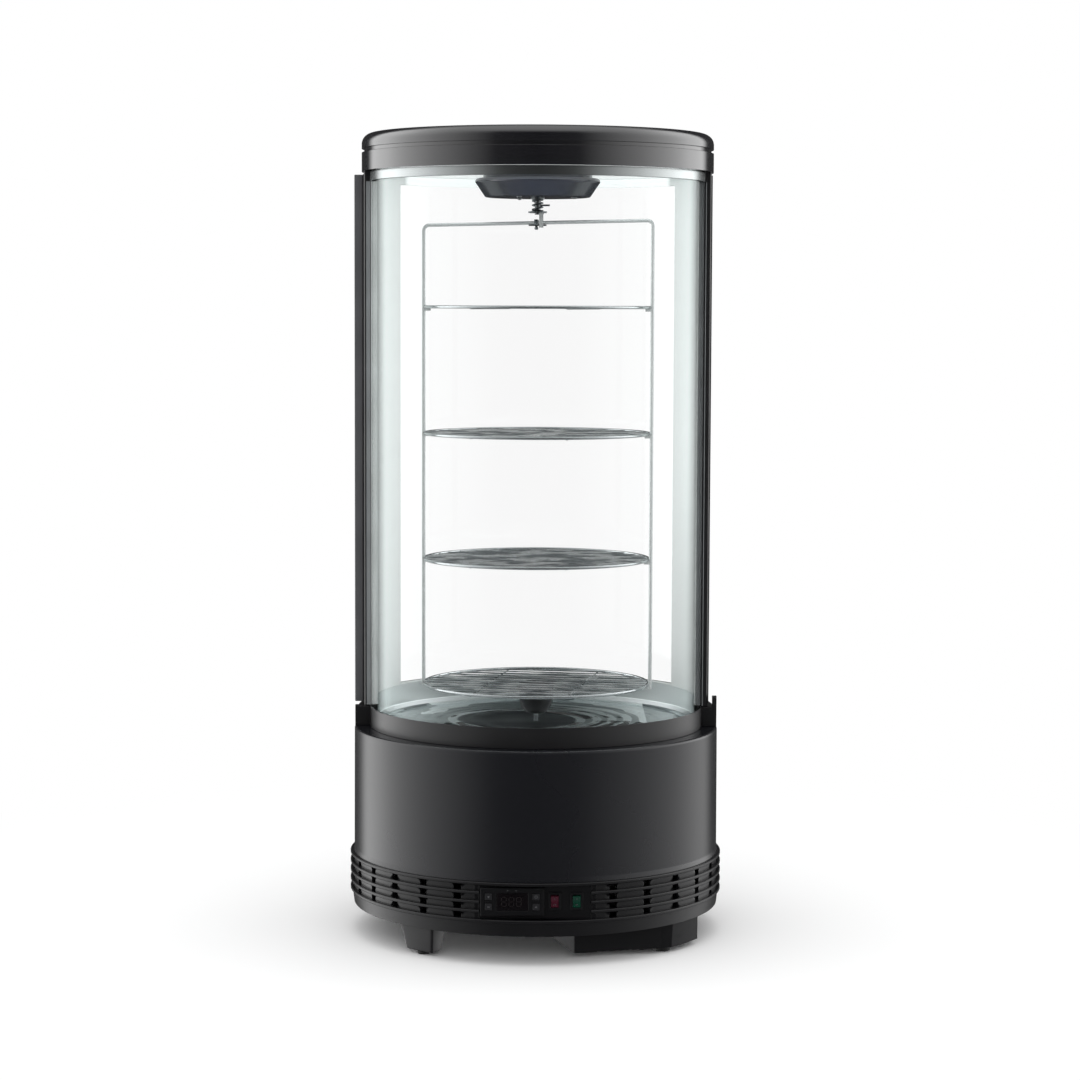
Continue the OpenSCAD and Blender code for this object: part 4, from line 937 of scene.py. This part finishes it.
coil_radius, coil_wire = 0.0064, 0.00085
coil_low, coil_high = 0.89145, 0.90435
coil_turns, coil_start = 2.5, 80
open_piece()
bpy.ops.mesh.primitive_circle_add(
    vertices=10, radius=coil_wire, location=(coil_radius, 0, coil_low), rotation=facing_front
)
swing(coil_start)
bpy.ops.object.mode_set(mode="OBJECT")
winding = bpy.context.object.modifiers.new("winding", "SCREW")
winding.angle = 2 * math.pi * coil_turns
winding.screw_offset = coil_high - coil_low
winding.steps = winding.render_steps = 80
winding.use_merge_vertices = False
bpy.ops.object.modifier_apply(modifier=winding.name)
bpy.ops.object.mode_set(mode="EDIT")
bpy.ops.mesh.select_all(action="SELECT")
bpy.ops.mesh.fill_holes(sides=0)
for z in (coil_low, coil_high):
    bpy.ops.mesh.primitive_torus_add(
        major_segments=48, minor_segments=10, major_radius=coil_radius, minor_radius=coil_wire,
        location=(0, 0, z),
    )
bpy.ops.mesh.select_all(action="SELECT")
bpy.ops.mesh.normals_make_consistent(inside=False)
spring_steel = metal("spring_steel", (0.24, 0.26, 0.27), 0.28, 0.000002)
spring = settle("wound_spring", spring_steel, "drive_shaft", "wire", "coupling_spring")
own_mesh(spring)

# Hanger: the washer, the bent strip and the clamp that join the shaft to the
# carousel's top bar, then the bent wire frame itself, all plated steel.

dress(wire_chrome, "hanger_strip", "carrier_frame", "shelf_clips")
dress(spring_steel, "hanger_washer")

rest_turn = -10
clip_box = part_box("bar_clip")
clip_low, clip_high = clip_box[0][2], clip_box[1][2]
plate_length, plate_width, plate_thick = 0.0214, 0.0088, 0.0016
plate_z = clip_low + 0.0054
bolt_x = -0.0015
open_piece()
block((plate_length, plate_width, plate_thick), (0, 0, plate_z))
pick("FACE", lambda p: abs(p.x) > plate_length / 2 - near)
bpy.ops.transform.resize(value=(1, 0.74, 1), center_override=(0, 0, plate_z))
soften(0.0003)
block((0.0048, 0.0096, clip_high - plate_z), (bolt_x, 0, (clip_high + plate_z) / 2))
pick("FACE", lambda p: p.z > clip_high - near)
bpy.ops.transform.resize(value=(1, 0.62, 1), center_override=(0, 0, clip_high))
soften(0.0007, 4)
block((0.0028, 0.0028, plate_z - clip_low), (bolt_x, 0, (plate_z + clip_low) / 2))
bpy.ops.mesh.primitive_cylinder_add(
    vertices=6, radius=0.0025, depth=0.0022, location=(bolt_x, 0, clip_low + 0.0016)
)
bpy.ops.mesh.select_all(action="SELECT")
swing(rest_turn)
settle("bar_clamp", spring_steel, "carousel", "wire", "bar_clip")

# Four shelves of plated wire: a rim, thirteen parallel bars butted into it and
# two cross bars under them, every joint closed by a small resistance weld.


def drawn_wire():
    """Chromed wire, darker in long streaks along the bars."""
    shader = Shader(bpy.data.materials.new("drawn_wire"))
    point = shader.place()
    streak = shader.noise(shader.stretch(point, 1, 22, 22), 7, 2.0).above(0.5, 0.18)
    marks = shader.noise(shader.stretch(point, 1, 12, 12), 420, 2.0)
    surface = shader.principled(
        base_color=shader.mix(streak, (0.34, 0.37, 0.38), (0.92, 0.95, 0.95)),
        metallic=0.95,
        roughness=0.20 + marks * 0.08,
        normal=shader.bumped((marks, 0.000002)),
    )
    return shader.output(surface)


shelf_wire = metal("shelf_wire", (0.60, 0.64, 0.65), 0.20, 0.000002, bare=0.9)
bar_steel = drawn_wire()
shelf_radius, shelf_low, shelf_pitch = 0.139, 0.3065, 0.1555
shelf_z = [shelf_low + shelf_pitch * i for i in (3, 2, 1, 0)]
rim_wire, bar_wire, weld_size = 0.0019, 0.0010, 0.0018
bars = 13
bar_pitch = shelf_radius * 2 / (bars + 1)


def round_bar(start, end):
    """Adds a straight shelf bar between two points."""
    start, end = Vector(start), Vector(end)
    along = (end - start).to_track_quat("Z", "Y").to_euler()
    bpy.ops.mesh.primitive_cylinder_add(
        vertices=8, radius=bar_wire, depth=(end - start).length,
        location=(start + end) / 2, rotation=along,
    )
    marked(bar_steel)


open_piece()
bpy.ops.mesh.primitive_torus_add(
    major_segments=128, minor_segments=12, major_radius=shelf_radius, minor_radius=rim_wire
)
bpy.context.object.data.materials.append(shelf_wire)
welds = []
for i in range(1, bars + 1):
    y = -shelf_radius + i * bar_pitch
    half = math.sqrt(shelf_radius ** 2 - y ** 2)
    round_bar((-half, y, 0), (half, y, 0))
    welds += [(-half + 0.0015, y, 0), (half - 0.0015, y, 0)]
cross = shelf_radius * 0.42
for x in (-cross, cross):
    half = math.sqrt(shelf_radius ** 2 - x ** 2)
    round_bar((x, -half, -1.6 * bar_wire), (x, half, -1.6 * bar_wire))
    welds += [(x, -half + 0.0012, -0.001), (x, half - 0.0012, -0.001)]
for weld in welds:
    bpy.ops.mesh.primitive_ico_sphere_add(subdivisions=1, radius=weld_size, location=weld)
bpy.ops.mesh.select_all(action="SELECT")
swing(rest_turn)
bpy.ops.object.mode_set(mode="OBJECT")
pattern = bpy.context.object
for number, height in enumerate(shelf_z, 1):
    bpy.ops.object.select_all(action="DESELECT")
    pattern.select_set(True)
    bpy.context.view_layer.objects.active = pattern
    bpy.ops.object.duplicate()
    bpy.ops.object.mode_set(mode="EDIT")
    bpy.ops.mesh.select_all(action="SELECT")
    bpy.ops.transform.translate(value=(0, 0, height))
    settle(f"welded_shelf_{number}", shelf_wire, "carousel", "wire", f"shelf_{number}")
bpy.data.objects.remove(pattern)

# Hub: a bowl moulded in black plastic under the lowest shelf. It holds the
# lower end of the carousel and turns on the floor's spindle.

hub_low, hub_high = (corner[2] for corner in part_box("turning_hub"))
open_piece()
turned([
    (0.0031, hub_low), (0.0090, hub_low), (0.0125, hub_low + 0.0012), (0.0160, hub_low + 0.0045),
    (0.0188, hub_low + 0.0092), (0.0204, hub_low + 0.0145), (0.0210, hub_low + 0.0200),
    (0.0210, hub_high - 0.0060), (0.0225, hub_high - 0.0050), (0.0225, hub_high - 0.0006),
    (0.0219, hub_high), (0.0031, hub_high), (0.0031, hub_low),
], 72)
settle("bowl_hub", satin_black, "carousel", "black_gloss", "turning_hub")

# Rear door: a black moulded frame around a bent glass, lined in light grey
# inside, with a grip along the free edge. It swings on two steel pins.


def light_lining():
    """Light grey extrusion with a finely etched skin, whiter along the top rail, which also carries a
    painted glow.
    """
    shader = Shader(bpy.data.materials.new("light_lining"))
    point = shader.place()
    x, _, z = shader.parts(point)
    grain = shader.noise(point, 2600, 2.0)
    cloud = shader.noise(point, 9, 3.0)
    rail = z.above(0.9235, 0.001) * (1 - abs(x).above(0.166, 0.006))
    side = shader.mix(cloud, (0.74, 0.78, 0.77), (0.80, 0.84, 0.83))
    surface = shader.principled(
        base_color=shader.mix(rail, side, (0.93, 0.95, 0.95)),
        # Painted light: the top rail glows, though it is no lamp.
        emission_color=shader.mix(rail, (0.0, 0.0, 0.0), (0.93, 1.0, 0.99)),
        emission_strength=0.3,
        roughness=0.36 + cloud * 0.12,
        normal=shader.bumped((grain, 0.00002), edge=0.0008),
    )
    return shader.output(surface)


lining = light_lining()
dress(lining, "door_liners", "door_gasket")

liner_inner, liner_outer = 0.1986, 0.2013
lip_low, lip_high = 0.9264, 0.9373
open_piece()
rear_arc(
    [
        (liner_inner, lip_low), (liner_outer, lip_low), (liner_outer, lip_high),
        (liner_inner + 0.0008, lip_high), (liner_inner, lip_high - 0.0014), (liner_inner, lip_low),
    ],
    72, 171,
)
settle("door_top_lip", lining, "door", "light_liner")

cap_outer = 0.2072
cap_low, cap_high = 0.29025, 0.2910
open_piece()
rear_arc(band(liner_inner, cap_outer, cap_low, cap_high), 60, 121)
settle("door_low_cap", lining, "door", "light_liner")

grip_low, grip_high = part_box("door_grip")
grip_turn, grip_start = 5.9, 0.9
grip_inner, grip_outer = 0.21555, 0.2259
grip_front = grip_outer * math.sin(math.radians(grip_turn + grip_start))
open_piece()
turned(band(grip_inner, grip_outer, grip_low[2], grip_high[2]), 8, grip_turn)
swing(180 - grip_start)
pick("FACE", lambda p: p.y > grip_front - 0.0012)
bpy.ops.mesh.inset(thickness=0.0024)
bpy.ops.mesh.extrude_region_move(TRANSFORM_OT_translate={"value": (-0.0016, -0.017, 0)})
soften(0.0022, 4)
grip_black = moulded("grip_black", (0.070, 0.071, 0.076), 0.40)
settle("moulded_grip", grip_black, "door", "black_moulding", "door_grip")
